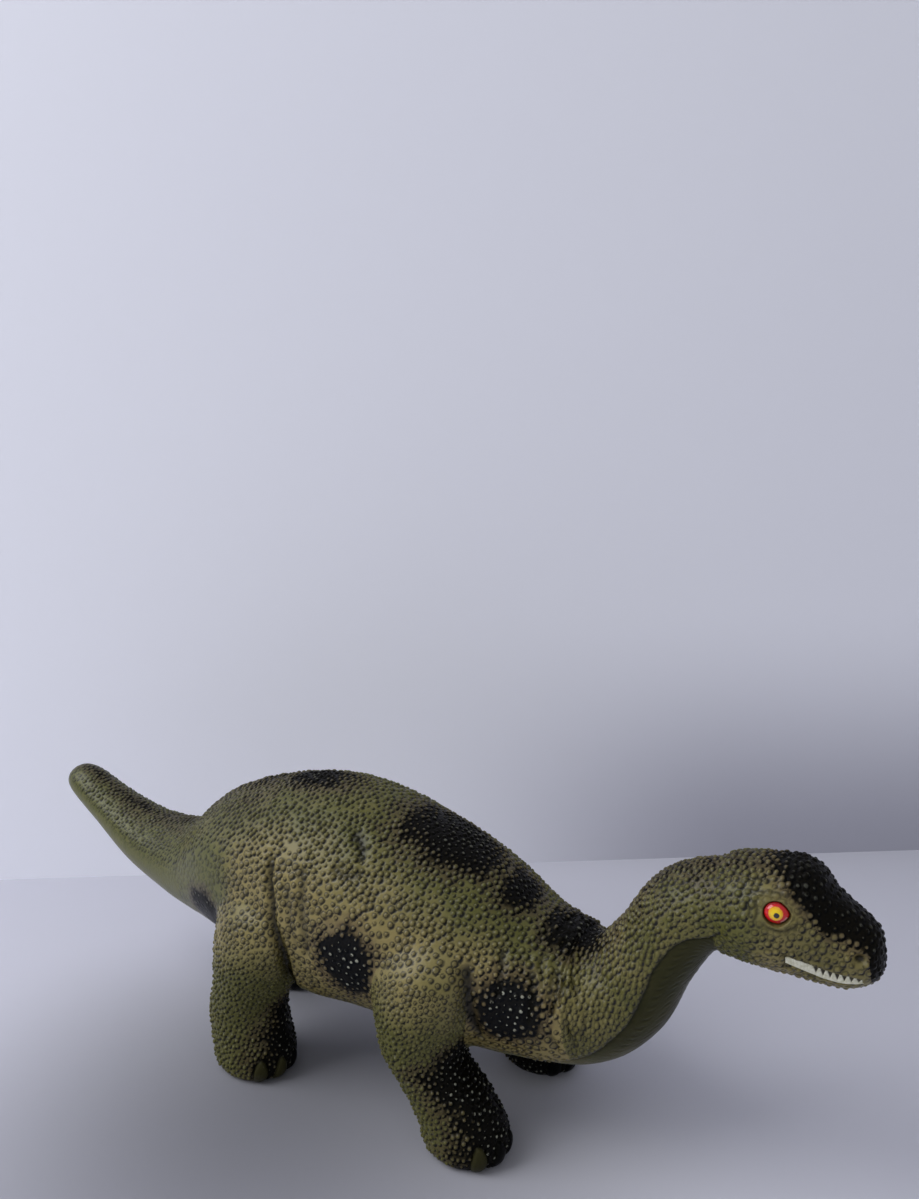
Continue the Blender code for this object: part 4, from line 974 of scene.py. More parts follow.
@dataclass
class PebbleTree:
    """Geometry nodes that scatter pebbles over the hide and raise it round each."""

    # Between pebbles on the shoulders, the back, the legs with the tail and neck, and the head
    spacing: tuple[float, float, float, float] = (3.9, 3.25, 2.75, 3.2)
    least: float = 2.3
    # The smallest and the largest pebble, as shares of the zone's radius
    spread: tuple[float, float] = (0.56, 1.26)
    seed: int = 11
    # How closely each zone is filled before the spacing thins it, in pebbles to its square
    crowding: float = 12.0
    # The side of the pebbles that their hollows are on, where each pebble's painted shadow falls
    shadow_side: tuple[float, float, float] = (0.66, 0.255, -0.69)

    def inputs(self) -> dict[str, float | int]:
        """The tree's named sizes."""
        return {
            "Shoulder Spacing": self.spacing[0] * MM,
            "Back Spacing": self.spacing[1] * MM,
            "Leg Spacing": self.spacing[2] * MM,
            "Head Spacing": self.spacing[3] * MM,
            "Least Spacing": self.least * MM,
            "Smallest Share": self.spread[0],
            "Largest Share": self.spread[1],
            "Seed": self.seed,
        }

    def build(self) -> bpy.types.NodeTree:
        """Builds the tree.

        Returns:
            A tree that reads the hide's zone, radius, relief and across values, moves its corners, and
            stores how high on a dome, how far in a dome's ring and how deep in a hollow each corner is;
            the ring and the hollow also carry painted shade.
        """
        tree = bpy.data.node_groups.new("raised pebbles", "GeometryNodeTree")
        tree.is_modifier = True
        tree.interface.new_socket("Hide", in_out="INPUT", socket_type="NodeSocketGeometry")
        for name, value in self.inputs().items():
            kind = "NodeSocketInt" if isinstance(value, int) else "NodeSocketFloat"
            tree.interface.new_socket(name, in_out="INPUT", socket_type=kind)
        tree.interface.new_socket("Finish", in_out="INPUT", socket_type="NodeSocketMaterial")
        tree.interface.new_socket("Hide", in_out="OUTPUT", socket_type="NodeSocketGeometry")
        nodes = NodeBuilder(tree)
        given = nodes.add("NodeGroupInput").outputs
        points = self.scatter(nodes, given)
        place = nodes.add("GeometryNodeInputPosition").outputs[0]
        nearest = nodes.add("GeometryNodeSampleNearest", {"Geometry": points, "Sample Position": place})

        def sampled(value: Socket, kind: str = "FLOAT") -> Socket:
            """A value of the nearest pebble."""
            inputs = {"Geometry": points, "Value": value, "Index": nearest}
            return nodes.add("GeometryNodeSampleIndex", inputs, data_type=kind).outputs[0]

        centre = sampled(place, "FLOAT_VECTOR")
        random = nodes.add("FunctionNodeRandomValue")
        for name, value in (("Min", given["Smallest Share"]), ("Max", given["Largest Share"])):
            nodes.put(nodes.socket(random.inputs, name), value)
        nodes.put(nodes.socket(random.inputs, "Seed"), given["Seed"])
        size = sampled(nodes.socket(random.outputs, "Value"))
        across = self.stored(nodes, "across", "FLOAT_VECTOR")
        offset = nodes.vector("SUBTRACT", place, centre)
        along = nodes.dot(offset, across)
        back = nodes.scaled(across, along)
        flat = nodes.vector("SUBTRACT", offset, back)
        radius = nodes.times(self.stored(nodes, "radius"), size)
        gap = nodes.vector("LENGTH", flat, output="Value")
        t = nodes.math("DIVIDE", gap, radius)
        inside = nodes.math("MAXIMUM", nodes.minus(1.0, nodes.times(t, t)), 0.0)
        dome = nodes.math("POWER", inside, 0.6)
        ring = nodes.times(nodes.rise(t, 0.66, 0.92), nodes.rise(t, 1.46, 1.14))
        normal = nodes.add("GeometryNodeInputNormal").outputs[0]
        # The hollow beside each pebble is a real dip and also marks the pebble's painted shadow
        pit = self.hollow(nodes, flat, normal, gap)
        pit = nodes.times(pit, nodes.rise(t, 0.42, 0.80))
        pit = nodes.times(pit, nodes.rise(t, 2.05, 1.45))
        relief = self.stored(nodes, "relief")
        low = nodes.line(pit, 0.34, nodes.times(ring, 0.22))
        lift = nodes.minus(nodes.times(dome, size), low)
        height = nodes.times(lift, relief)
        move = nodes.scaled(normal, height)
        hide = given["Hide"]
        for name, value in (("dome", dome), ("ring", ring), ("pit", pit)):
            inputs = {"Geometry": hide, "Name": name, "Value": value}
            hide = nodes.add("GeometryNodeStoreNamedAttribute", inputs, data_type="FLOAT").outputs[0]
        hide = nodes.add("GeometryNodeSetPosition", {"Geometry": hide, "Offset": move}).outputs[0]
        hide = nodes.add("GeometryNodeRealizeInstances", {"Geometry": hide}).outputs[0]
        inputs = {"Geometry": hide, "Material": given["Finish"]}
        hide = nodes.add("GeometryNodeSetMaterial", inputs).outputs[0]
        nodes.add("NodeGroupOutput", {"Hide": hide})
        return tree

    def hollow(
        self,
        nodes: NodeBuilder,
        flat: Socket,
        normal: Socket,
        gap: Socket,
    ) -> Socket:
        """Finds the side of each pebble that its hollow and its painted shadow hug.

        Args:
            nodes: the tree's builder.
            flat: the way from the nearest pebble's middle.
            normal: the hide's outward direction.
            gap: the length of that way.

        Returns:
            1 on that side and 0 on the other.
        """
        out = nodes.dot(normal, self.shadow_side)
        raised = nodes.scaled(normal, out)
        way = nodes.vector("NORMALIZE", nodes.vector("SUBTRACT", self.shadow_side, raised))
        share = nodes.dot(flat, way)
        return nodes.rise(nodes.math("DIVIDE", share, gap), -0.15, 0.72)

    @staticmethod
    def stored(nodes: NodeBuilder, name: str, kind: str = "FLOAT") -> Socket:
        """A value stored on the geometry."""
        node = nodes.add("GeometryNodeInputNamedAttribute", {"Name": name}, data_type=kind)
        return nodes.socket(node.outputs, "Attribute")

    def scatter(self, nodes: NodeBuilder, given: bpy.types.bpy_prop_collection) -> Socket:
        """Scatters points with each zone's own spacing.

        Args:
            nodes: the tree's builder.
            given: the group's inputs.

        Returns:
            All the points, none closer than the least spacing.
        """
        zone = self.stored(nodes, "zone")
        joined = nodes.add("GeometryNodeJoinGeometry")
        for number, name in enumerate([name for name in self.inputs() if name.endswith("Spacing")][:4], 1):
            chosen = nodes.add("ShaderNodeMath", {0: zone, 1: float(number), 2: 0.5}, operation="COMPARE")
            area = nodes.times(given[name], given[name])
            inputs = {
                "Mesh": given["Hide"],
                "Selection": chosen,
                "Distance Min": given[name],
                "Density Max": nodes.math("DIVIDE", self.crowding, area),
                "Seed": nodes.plus(given["Seed"], float(number)),
            }
            kind = "GeometryNodeDistributePointsOnFaces"
            made = nodes.add(kind, distribute_method="POISSON")
            for key, value in inputs.items():
                nodes.put(nodes.socket(made.inputs, key), value)
            nodes.put(joined.inputs[0], made.outputs["Points"])
        inputs = {"Geometry": joined.outputs[0], "Distance": given["Least Spacing"]}
        return nodes.add("GeometryNodeMergeByDistance", inputs).outputs[0]

    def apply(self, mesh: Mesh, finish: Material) -> Mesh:
        """Raises the pebbles.

        Args:
            mesh: the hide with its stored values.
            finish: the material that it gets.

        Returns:
            The raised hide as a plain mesh.
        """
        made = new_object("hide", mesh)
        modifier = made.modifiers.new("pebbles", "NODES")
        tree = self.build()
        modifier.node_group = tree
        values = {**self.inputs(), "Finish": finish}
        for item in tree.interface.items_tree:
            if item.in_out == "INPUT" and item.name in values:
                modifier[item.identifier] = values[item.name]
        return baked(made)


@dataclass
class Hide:
    """The toy's whole skin, from its lofts to its eight pieces."""

    spine: SpineForm = field(default_factory=SpineForm)
    head: HeadForm = field(default_factory=HeadForm)
    eye: EyeForm = field(default_factory=EyeForm)
    mouth: MouthForm = field(default_factory=MouthForm)
    legs: tuple[LegForm, ...] = (
        LegForm(Region.FRONT_RIGHT_LEG, (77.5, -44.0), 0.0, FRONT_ROWS, FRONT_BLACK),
        LegForm(Region.FRONT_LEFT_LEG, (81.5, 44.0), 4.0, FRONT_ROWS, FRONT_BLACK),
        LegForm(Region.HIND_RIGHT_LEG, (-67.0, -43.0), 0.0, HIND_ROWS, HIND_BLACK),
        LegForm(Region.HIND_LEFT_LEG, (-112.0, 43.0), -45.0, HIND_ROWS, HIND_BLACK),
    )
    voxel: float = 1.3
    # The opening in the belly and the land in it that carries the sound unit's cover
    recess_radius: float = 22.8
    hole_radius: float = 15.8
    land_height: float = 50.0
    land_thickness: float = 2.5
    nostril: tuple[float, float, float] = (259.2, -14.3, 139.4)
    nostril_reach: tuple[float, float, float] = (2.6, 3.6, 2.1)
    # Where the skull starts, how high a leg reaches, and how high and how far out the belly hole's rim lies
    skull_back: float = 185
    leg_top: float = 118
    hole_rim_top: float = 60
    hole_rim_reach: float = 8
    lid_lines: tuple[LidLine, ...] = (
        LidLine(((-6.6, -4.6), (-3.0, -7.0), (2.5, -7.4), (7.0, -5.2), (10.5, -1.6)), 0.7, 0.75),
        LidLine(((-9.5, 4.5), (-8.4, 1.0), (-8.8, -3.0), (-10.6, -6.0)), 0.5, 0.7),
        LidLine(((-13.5, 3.0), (-11.6, 0.0), (-12.0, -4.0)), 0.4, 0.7),
        LidLine(((-14.0, 6.4), (-7.0, 8.0), (0.0, 8.7), (6.0, 7.6)), 0.5, 0.7),
        LidLine(((-16.0, 9.4), (-9.0, 11.2), (-2.0, 12.0)), 0.4, 0.7),
        LidLine(((8.0, 2.5), (11.0, 3.5), (13.0, 1.0)), 0.4, 0.6),
    )
    creases: tuple[Crease, ...] = (
        Crease(
            (
                (-45.5, 143.0), (-42.0, 135.0), (-40.5, 126.0), (-37.0, 116.0), (-36.0, 106.0),
                (-31.5, 96.0), (-29.0, 84.0), (-31.5, 70.0), (-39.0, 56.0),
            ),
            2.7,
            2.3,
        ),
        Crease(((-21.0, 139.0), (-17.7, 131.5), (-16.0, 117.0), (-13.0, 102.0), (-12.9, 87.8)), 1.1, 3.0),
        Crease(((-29.0, 130.0), (-25.0, 118.0), (-22.0, 104.0), (-19.0, 92.0)), 0.7, 2.4),
        Crease(((79.5, 106.0), (82.4, 95.0), (83.0, 80.0), (86.2, 62.0)), 1.7, 2.9),
        Crease(((1.0, 155.5), (7.5, 152.5), (12.0, 147.5), (13.0, 143.0)), 1.5, 2.3, 24.0),
        Crease(((-2.0, 140.5), (4.0, 138.0), (11.0, 137.5), (18.0, 140.0)), 1.2, 2.3),
        Crease(((228.0, 139.6), (230.0, 136.0), (229.0, 130.5)), 1.1, 1.3, 14.0),
        Crease(((94.0, 112.0), (96.5, 100.0), (96.0, 90.0)), 1.3, 1.8, 26.0),
        Crease(((110.0, 104.0), (113.0, 92.0), (112.0, 78.0)), 1.5, 1.8, 26.0),
        Crease(((121.0, 108.0), (124.0, 96.0), (123.0, 84.0)), 1.3, 1.7, 26.0),
        Crease(((231.0, 141.5), (236.0, 139.5), (243.0, 136.6), (250.0, 134.0)), 0.35, 1.0, 10.0),
    )
    folds: tuple[Fold, ...] = (
        Fold(100.0, 0, 52, 0.9, 1.8, 3.0),
        Fold(107.0, 0, 70, 1.4, 1.7, 4.0),
        Fold(114.5, 10, 92, 1.3, 1.6, 3.0),
        Fold(120.5, 38, 112, 1.2, 1.3, 2.0),
        Fold(125.5, 4, 66, 1.5, 1.5, 3.0),
        Fold(129.5, 48, 116, 1.4, 1.1, 1.0),
        Fold(133.5, 0, 58, 1.2, 1.4, 2.0),
        Fold(138.0, 50, 104, 0.8, 1.1, 1.0),
    )
    patches: tuple[Patch, ...] = (
        Patch((13.0, -60.0, 93.5), (19.0, 36.0, 23.0), 0.94),
        Patch((101.0, -44.0, 84.0), (20.5, 26.0, 19.0), 0.96),
        Patch((-47.0, 0.0, 171.0), (42.0, 26.0, 12.0), 0.72),
        Patch((50.0, 0.0, 150.0), (46.0, 33.0, 20.0), 0.94),
        Patch((88.0, 0.0, 128.0), (34.0, 28.0, 12.0), 0.70),
        Patch((122.0, 0.0, 113.0), (24.0, 28.0, 13.0), 0.86),
        Patch((-100.0, -44.0, 90.0), (17.0, 22.0, 15.0)),
    )
    # The edge of the head's black paint on the side of the head: along and height
    cap_edge: tuple[tuple[float, float], ...] = (
        (199.0, 179.0), (206.0, 175.5), (214.4, 170.5), (221.3, 169.0), (227.9, 165.0), (234.2, 158.6),
        (238.2, 153.8), (242.5, 149.6), (247.8, 146.2), (253.5, 143.8), (258.4, 142.2), (261.5, 140.0),
        (263.0, 134.0), (264.0, 124.0),
    )
    # The upper edge of the throat's smooth band, as places on the neck's right side
    band_edge: tuple[tuple[float, float, float], ...] = (
        (192.0, -20.6, 134.5), (182.6, -21.5, 131.9), (175.4, -22.4, 125.4), (168.2, -23.4, 113.2),
        (166.1, -24.0, 105.1), (162.3, -25.3, 94.8), (157.4, -26.3, 83.9), (149.1, -28.5, 73.6),
        (140.3, -29.7, 65.0), (130.9, -31.1, 59.5), (112.0, -28.0, 50.0),
    )

    def lofted(self) -> Mesh:
        """The separate closed lofts in one mesh, overlapping where they meet."""
        points: list[Array] = []
        quads: list[Array] = []
        caps: list[Array] = []
        count = 0
        for rings in (self.spine.rings(), self.head.rings(), *(leg.rings() for leg in self.legs)):
            size = len(rings[0])
            j = np.arange(size)
            k = (j + 1) % size
            for i in range(len(rings) - 1):
                low, high = count + i * size, count + (i + 1) * size
                quads.append(np.column_stack([low + j, low + k, high + k, high + j]))
            last = count + (len(rings) - 1) * size
            middle = count + len(rings) * size
            caps.append(np.column_stack([count + k, count + j, np.full(size, middle)]))
            caps.append(np.column_stack([last + j, last + k, np.full(size, middle + 1)]))
            points += [*rings, rings[0].mean(0)[None], rings[-1].mean(0)[None]]
            count = middle + 2
        return mesh_from("lofts", np.vstack(points), np.vstack(quads), np.vstack(caps))

    def united(self) -> Surface:
        """The lofts as one surface, with soft seams where the legs and the head join on."""
        made = new_object("lofts", self.lofted())
        remesh = made.modifiers.new("one skin", "REMESH")
        remesh.mode = "VOXEL"
        remesh.voxel_size = self.voxel * MM * 1.0
        surface = Surface(*arrays_of(baked(made)))
        surface.relax(8, 1.0, swell=True)
        spine = np.abs(self.spine.locate(surface.points)[2])
        leg = np.min([np.abs(leg.distance(surface.points)) for leg in self.legs], axis=0)
        head = np.abs(self.head.distance(surface.points))
        seam = bell(np.maximum(spine, leg), 0, 7) + bell(np.maximum(spine, head), 0, 5)
        surface.relax(36, np.clip(seam, 0, 1))
        fine = new_object("hide", mesh_from("hide", surface.points, surface.faces))
        smooth = fine.modifiers.new("fine", "SUBSURF")
        smooth.levels = smooth.render_levels = 1
        return Surface(*arrays_of(baked(fine)))

    def throat_share(self, points: Array, along: Array, angle: Array) -> tuple[Array, Array]:
        """Finds the smooth band under the neck.

        Args:
            points: the hide's corners.
            along: how far along the toy each is.
            angle: each one's angle down from the back.

        Returns:
            How far inside the band each corner is, in degrees round the neck, and where the band fades out.
        """
        place, edge, _ = self.spine.locate(np.array(self.band_edge))
        order = np.argsort(place)
        inside = angle - np.interp(along, place[order], edge[order])
        fade = smoothstep(96, 122, along) * smoothstep(3.0, -0.5, self.spine_only(points))
        return inside, fade

    @staticmethod
    def stripes(points: Array, along: Array, angle: Array) -> Array:
        """The fine ridges across the throat, from -1 to 1."""
        run = along - 0.34 * angle + 0.2 * points[:, 2] + 1.1 * np.sin(angle / 5 + along / 6)
        broken = 0.5 + 0.5 * np.sin(along / 4.3 + angle / 3.1)
        return (0.6 * np.sin(run * 1.7) + 0.4 * np.sin(run * 2.9 + 0.2 * points[:, 1])) * broken

    def spine_only(self, points: Array) -> Array:
        """How far points lie inside the skull's surface, or 0 for those well outside it."""
        return np.maximum(3.0 - np.abs(self.head.distance(points)) * 2.0, 0) * (points[:, 0] > 196)

    def build(self, finish: Material) -> list[Object]:
        """Makes, sculpts, paints and cuts the hide, in this order.

        Args:
            finish: the painted vinyl.

        Returns:
            The eight pieces.
        """
        surface = self.united()
        log.info("united hide: %d corners", len(surface.points))
        points = surface.points
        along, angle, spine = self.spine.locate(points)
        head = self.head.distance(points)
        legs = np.array([leg.distance(points) for leg in self.legs])
        region = self.regions(points, along, spine, head, legs)
        fold = self.sculpt(surface, along, angle, region)
        points = surface.points
        values = self.masks(points, along, angle, region)
        # The painted shade of the folds, pits and grooves
        values["fold"] = np.clip(fold, 0, 1)
        mesh = mesh_from("hide", points, surface.faces)
        for name, row in values.items():
            store(mesh, name, row)
        mesh = PebbleTree().apply(mesh, finish)
        raised = Surface(arrays_of(mesh)[0], surface.faces)
        raised.points[:, 2] = np.maximum(raised.points[:, 2], 0.0)
        kept = {name: read(mesh, name) for name in (*PAINT_NAMES, "dome", "ring", "pit")}
        return self.cut(raised, region, kept, finish)

    def regions(self, points: Array, along: Array, spine: Array, head: Array, legs: Array) -> Array:
        """Names each corner's region.

        Args:
            points: the hide's corners.
            along: how far along the toy each is.
            spine: distances from the spine's surface.
            head: distances from the skull's surface.
            legs: distances from each leg's surface.

        Returns:
            The number of each corner's region, in the order of Region.
        """
        region = np.zeros(len(points), int)
        region[along < self.spine.tail_root] = 1
        region[along > self.spine.neck_root] = 2
        region[(head < spine) & (points[:, 0] > self.skull_back)] = 3
        nearest = np.argmin(legs, axis=0)
        on_leg = (legs.min(0) < spine) & (points[:, 2] < self.leg_top)
        region[on_leg] = 4 + nearest[on_leg]
        return region

    def sculpt(self, surface: Surface, along: Array, angle: Array, region: Array) -> Array:
        """Presses the folds, the eye sockets, the nostrils, the mouth and the throat into the surface.

        Args:
            surface: the hide, which is changed.
            along: how far along the toy each corner is.
            angle: each corner's angle down from the back.
            region: each corner's region.

        Returns:
            How much painted shade each corner gets from the fold, pit or groove it lies in.
        """
        points = surface.points
        # Painted shade: folds, creases, nostrils, nail grooves and the throat band's edge darken the paint
        # where the hide sinks
        dark = np.zeros(len(points))
        sag = np.exp(-(((along + 20) / 26) ** 2) - ((angle - 136) / 22) ** 2)
        move = 5.0 * sag * (region == 0)
        for crease in self.creases:
            lift, pit = crease.press(points)
            move += lift
            dark = np.maximum(dark, pit**1.3 * min(crease.depth / 1.7, 1.0))
        body = region < 3
        for each in self.folds:
            lift, pit = each.press(along, angle)
            move += lift * body
            dark = np.maximum(dark, 0.5 * pit * body)
        inside, fade = self.throat_share(points, along, angle)
        band = fade * (region == 2) + fade * (region == 0)
        move -= 0.9 * smoothstep(-1, 3, inside) * band
        move += 0.15 * self.stripes(points, along, angle) * smoothstep(3, 10, inside) * band
        edge = bell(inside, 1.5, 2.2) * band
        move -= 0.35 * edge
        dark = np.maximum(dark, edge * 0.8)
        snout = region == 3
        pit = np.linalg.norm((on_right(points) - self.nostril) / self.nostril_reach, axis=1)
        move -= 2.8 * bell(pit) * snout
        move += 0.7 * bell(pit, 1.9, 0.5) * snout
        dark = np.maximum(dark, smoothstep(0.95, 0.70, pit) * snout)
        mouth = self.mouth.inside(points) * snout
        move -= self.mouth.groove * mouth
        for number, leg in enumerate(self.legs):
            nail = np.where(region == 4 + number, leg.nail_share(points), 9.0)
            groove = bell(nail, 1.10, 0.12) * smoothstep(0.5, 3.0, points[:, 2])
            move += 1.5 * np.sqrt(np.clip(1 - nail**2, 0, 1)) - 1.0 * groove
            dark = np.maximum(dark, groove * 0.9)
        surface.points = points + surface.normals() * move[:, None]
        dark = np.maximum(dark, self.set_eyes(surface, snout))
        surface.points[:, 2] = np.maximum(surface.points[:, 2], 0.0)
        return dark

    def set_eyes(self, surface: Surface, head: Array) -> Array:
        """Sinks a socket for each eye, with a raised lid round it, a brow above and folds beside it.

        Args:
            surface: the hide, which is changed.
            head: which corners belong to the head.

        Returns:
            How much painted shade each corner gets from the lid folds and the socket's edge.
        """
        points = surface.points
        local = self.eye.local(points)
        share = self.eye.share(local[:, 0], local[:, 1])
        near = head & (local[:, 2] > EYE_BACK) & (share < 2.6)
        lid = 0.35 * bell(share, 1.18, 0.10)
        brow = bell(local[:, 1] - 8.2 - 0.10 * local[:, 0], 0, 1.5)
        brow *= smoothstep(-11, -5, local[:, 0]) * smoothstep(10, 5, local[:, 0])
        sunk = smoothstep(1.06, 0.96, share) * (local[:, 2] + 2.2)
        lift = np.where(near, lid + brow - np.maximum(sunk, 0), 0)
        # Painted shade in the lid folds and round the socket's edge
        dark = np.zeros(len(points))
        beside = np.flatnonzero(head & (local[:, 2] > EYE_BACK) & (np.hypot(local[:, 0], local[:, 1]) < 22))
        for each in self.lid_lines:
            change, pit = each.press(local[beside])
            lift[beside] += change
            dark[beside] = np.maximum(dark[beside], 0.8 * pit)
        out = np.array(self.eye.matrix())[:3, 2]
        sides = np.column_stack([np.ones(len(points)), -np.sign(points[:, 1]), np.ones(len(points))])
        surface.points = points + lift[:, None] * out * sides
        return np.maximum(dark, near * bell(share, 1.03, 0.07) * 0.8)

    def masks(self, points: Array, along: Array, angle: Array, region: Array) -> dict[str, Array]:
        """Works out what the pebbles and the paint need to know.

        Args:
            points: the sculpted corners.
            along: how far along the toy each is.
            angle: each one's angle down from the back.
            region: each one's region.

        Returns:
            One array for each stored value.
        """
        torso, tail, neck, head = [region == i for i in range(4)]
        leg = region >= 4
        wander = 5 * np.sin(points[:, 0] / 9 + points[:, 2] / 13) + 4 * np.sin(points[:, 0] / 5.3 + 1)
        inside, fade = self.throat_share(points, along, angle)
        band = smoothstep(-1, 2, inside) * fade * (neck | torso)
        belly = smoothstep(128, 142, angle + wander * 0.6) * (torso | tail)
        rump = smoothstep(-58, -98, along + wander) * (torso | tail)
        back = smoothstep(84, 62, angle + wander) * torso
        side = smoothstep(50, 74, angle + wander) * smoothstep(66, 36, along + wander)
        chest = smoothstep(80, 98, angle + wander) * smoothstep(52, 82, along)
        side = np.maximum(side, chest * smoothstep(144, 120, along)) * (torso | neck)
        side = np.where(leg, smoothstep(66, 98, points[:, 2] + 0.8 * wander), side)
        mouth = self.mouth.inside(points)
        nail = np.zeros(len(points))
        paint = np.full(len(points), -2.0)
        for patch in self.patches:
            paint = np.maximum(paint, 1.5 * patch.depth(points) - 4.0 * (leg | head))
        spine_top = np.where(tail | (rump > 0), 0.16 - angle / 70, -1.0) + 0.05 * np.sin(along / 7)
        paint = np.maximum(paint, np.where(tail | torso, spine_top, -1.0))
        paint = np.where(neck & (along > 150), np.maximum(paint, 0.10 - angle / 110), paint)
        for number, form in enumerate(self.legs):
            own = region == 4 + number
            share = form.nail_share(points)
            nail = np.where(own, smoothstep(1.06, 0.98, share), nail)
            paint = np.where(own, form.paint(points), paint)
        cap = np.array(self.cap_edge)
        limit = np.interp(points[:, 0], cap[:, 0], cap[:, 1]) + 1.6
        nape = 0.10 - angle / 110 - 0.6 * smoothstep(206, 226, points[:, 0])
        paint = np.where(head, np.maximum(np.clip((points[:, 2] - limit) / 8.5, -1, 1.2), nape), paint)
        eye = self.eye.local(points)
        near_eye = head & (eye[:, 2] > EYE_BACK)
        socket = smoothstep(1.06, 1.24, self.eye.share(eye[:, 0], eye[:, 1]))
        beside = 0.35 + 0.65 * smoothstep(8.5, 15.5, np.hypot(eye[:, 0], eye[:, 1]))
        clear = np.where(near_eye, socket * beside, 1.0)
        lips = np.minimum(np.abs(points[:, 2] - self.mouth.limits(points[:, 0])[0]), 9)
        clear *= np.where(head, (1 - mouth) * (0.4 + 0.6 * smoothstep(0.5, 2.0, lips)), 1.0)
        clear *= smoothstep(2.4, 3.8, np.linalg.norm(on_right(points) - self.nostril, axis=1))
        clear *= (1 - belly) * (1 - band) * (1 - nail)
        clear *= np.where(leg, smoothstep(1.0, 4.0, points[:, 2]), 1.0)
        rear = rump * smoothstep(40, 80, angle)
        clear *= np.where(tail, 0.22 + 0.78 * smoothstep(94, 46, angle), 1 - 0.65 * rear)

        crown = smoothstep(158, 170, points[:, 2])
        leg_relief = 0.66 + 0.26 * smoothstep(96, 60, points[:, 2])
        uneven = 0.5 + 0.5 * np.sin(points[:, 0] / 5.1 + 1.4) * np.sin(points[:, 2] / 4.3)
        head_relief = 0.42 + 0.30 * uneven + 0.30 * crown
        relief = np.select([leg, head, neck], [leg_relief, head_relief, 0.62], 0.66 + 0.24 * back)
        relief = relief * (1 - 0.2 * rear) * (1 - 0.2 * rump) * (1 - 0.3 * side)
        tail_relief = 0.48 * smoothstep(104, 44, angle) * smoothstep(-264, -240, along)
        relief = np.where(tail, tail_relief + 0.08, relief)

        # Painted shade: the throat's dark colour deepens higher up, where the band faces down
        throat_shade = 0.30 + 0.66 * smoothstep(44, 74, points[:, 2])
        lower_leg = smoothstep(104, 84, points[:, 2])
        zone = np.ones(len(points))
        zone[torso & (side < 0.5)] = 2
        zone[leg & (lower_leg > 0.5)] = 3
        zone[tail | neck] = 3
        zone[head] = 4
        radius = np.select([zone == 1, zone == 2, zone == 3], [1.50, 1.36, 1.14], 1.36 + 0.10 * crown)
        across = np.zeros((len(points), 3))
        turned = np.radians(angle)
        wrap = np.column_stack([0 * turned, np.sign(points[:, 1]) * np.cos(turned), -np.sin(turned)])
        across[neck] = (wrap * (0.62 * smoothstep(190, 170, along))[:, None])[neck]

        pits = (1 - 0.85 * side) * np.where(tail, 0.5, np.where(head, 0.8, 1.0))
        tan = np.where(torso, smoothstep(32, 76, angle) * (1 - rump), 0.22)
        tan = np.where(leg, 0.85 * smoothstep(62, 98, points[:, 2]) - 0.12, tan)
        tan = np.where(head, 0.55 * smoothstep(205, 225, points[:, 0]), tan)
        smooth = np.maximum(np.maximum(belly, 0.75 * rear), 0.9 * tail)
        # Where pebble tips in the black show pale, partly worn paint and partly painted glints; it also
        # picks the patches' black
        worn = np.select([torso & (angle > 60), leg, head], [1.0, 0.6, 0.14], 0.3)
        return {
            "zone": zone,
            "radius": radius * MM,
            "relief": relief * clear * MM,
            "across": across,
            "paint": paint,
            "tan": tan,
            "smooth": np.clip(smooth, 0, 1),
            "throat": np.clip(band * throat_shade * (0.9 - 0.10 * self.stripes(points, along, angle)), 0, 1),
            "nail": nail,
            "pits": pits * clear,
            "worn": worn * clear,
            "clear": clear,
        }

    def cut(
        self, surface: Surface, region: Array, values: dict[str, Array], finish: Material
    ) -> list[Object]:
        """Cuts the raised hide into its pieces, each closed where it meets its neighbours.

        Args:
            surface: the raised hide.
            region: each corner's region.
            values: the stored masks.
            finish: the painted vinyl.

        Returns:
            The pieces, riding on the toy.
        """
        normals = surface.normals()
        corner_regions = np.sort(region[surface.faces], axis=1)
        face_region = corner_regions[:, 1]
        centre = surface.points[surface.faces].mean(1)
        under = np.hypot(centre[:, 0], centre[:, 1]) < self.recess_radius
        open_belly = under & (centre[:, 2] < self.land_height) & (face_region == 0)
        pieces = []
        for number, name in enumerate(Region):
            faces = surface.faces[(face_region == number) & ~open_belly]
            used, renumbered = np.unique(faces, return_inverse=True)
            quads = renumbered.reshape(-1, 4)
            points = surface.points[used].copy()
            loops = self.rims(quads)
            triangles, extra = [], []
            for loop in loops:
                middle = points[loop].mean(0)
                central = np.hypot(middle[0], middle[1]) < self.hole_rim_reach
                if name is Region.TORSO and central and middle[2] < self.hole_rim_top:
                    quads, points = self.land(quads, points, loop)
                    continue
                extra.append((loop, middle))
            for loop, middle in extra:
                triangles.append(np.column_stack([loop, np.roll(loop, -1), np.full(len(loop), len(points))]))
                points = np.vstack([points, middle])
            sets = [quads, np.vstack(triangles)] if triangles else [quads]
            mesh = mesh_from(f"{name.value}_hide", points, *sets)
            added = len(points) - len(used)
            for key, row in values.items():
                store(mesh, key, np.concatenate([row[used], np.zeros(added)]))
            own = np.vstack([normals[used], np.tile((0.0, 0.0, 1.0), (added, 1))])
            if added > len(extra):
                flat = Surface(points, quads).normals()
                own[len(used) :] = flat[len(used) :]
            mesh.normals_split_custom_set_from_vertices(own.tolist())
            mesh.materials.append(finish)
            made = new_object(f"{name.value}_hide", mesh)
            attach(made, "toy")
            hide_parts(f"{name.value}_skin", f"{name.value}_filling")
            log.info("%s: %d corners", made.name, len(points))
            pieces.append(made)
        return pieces

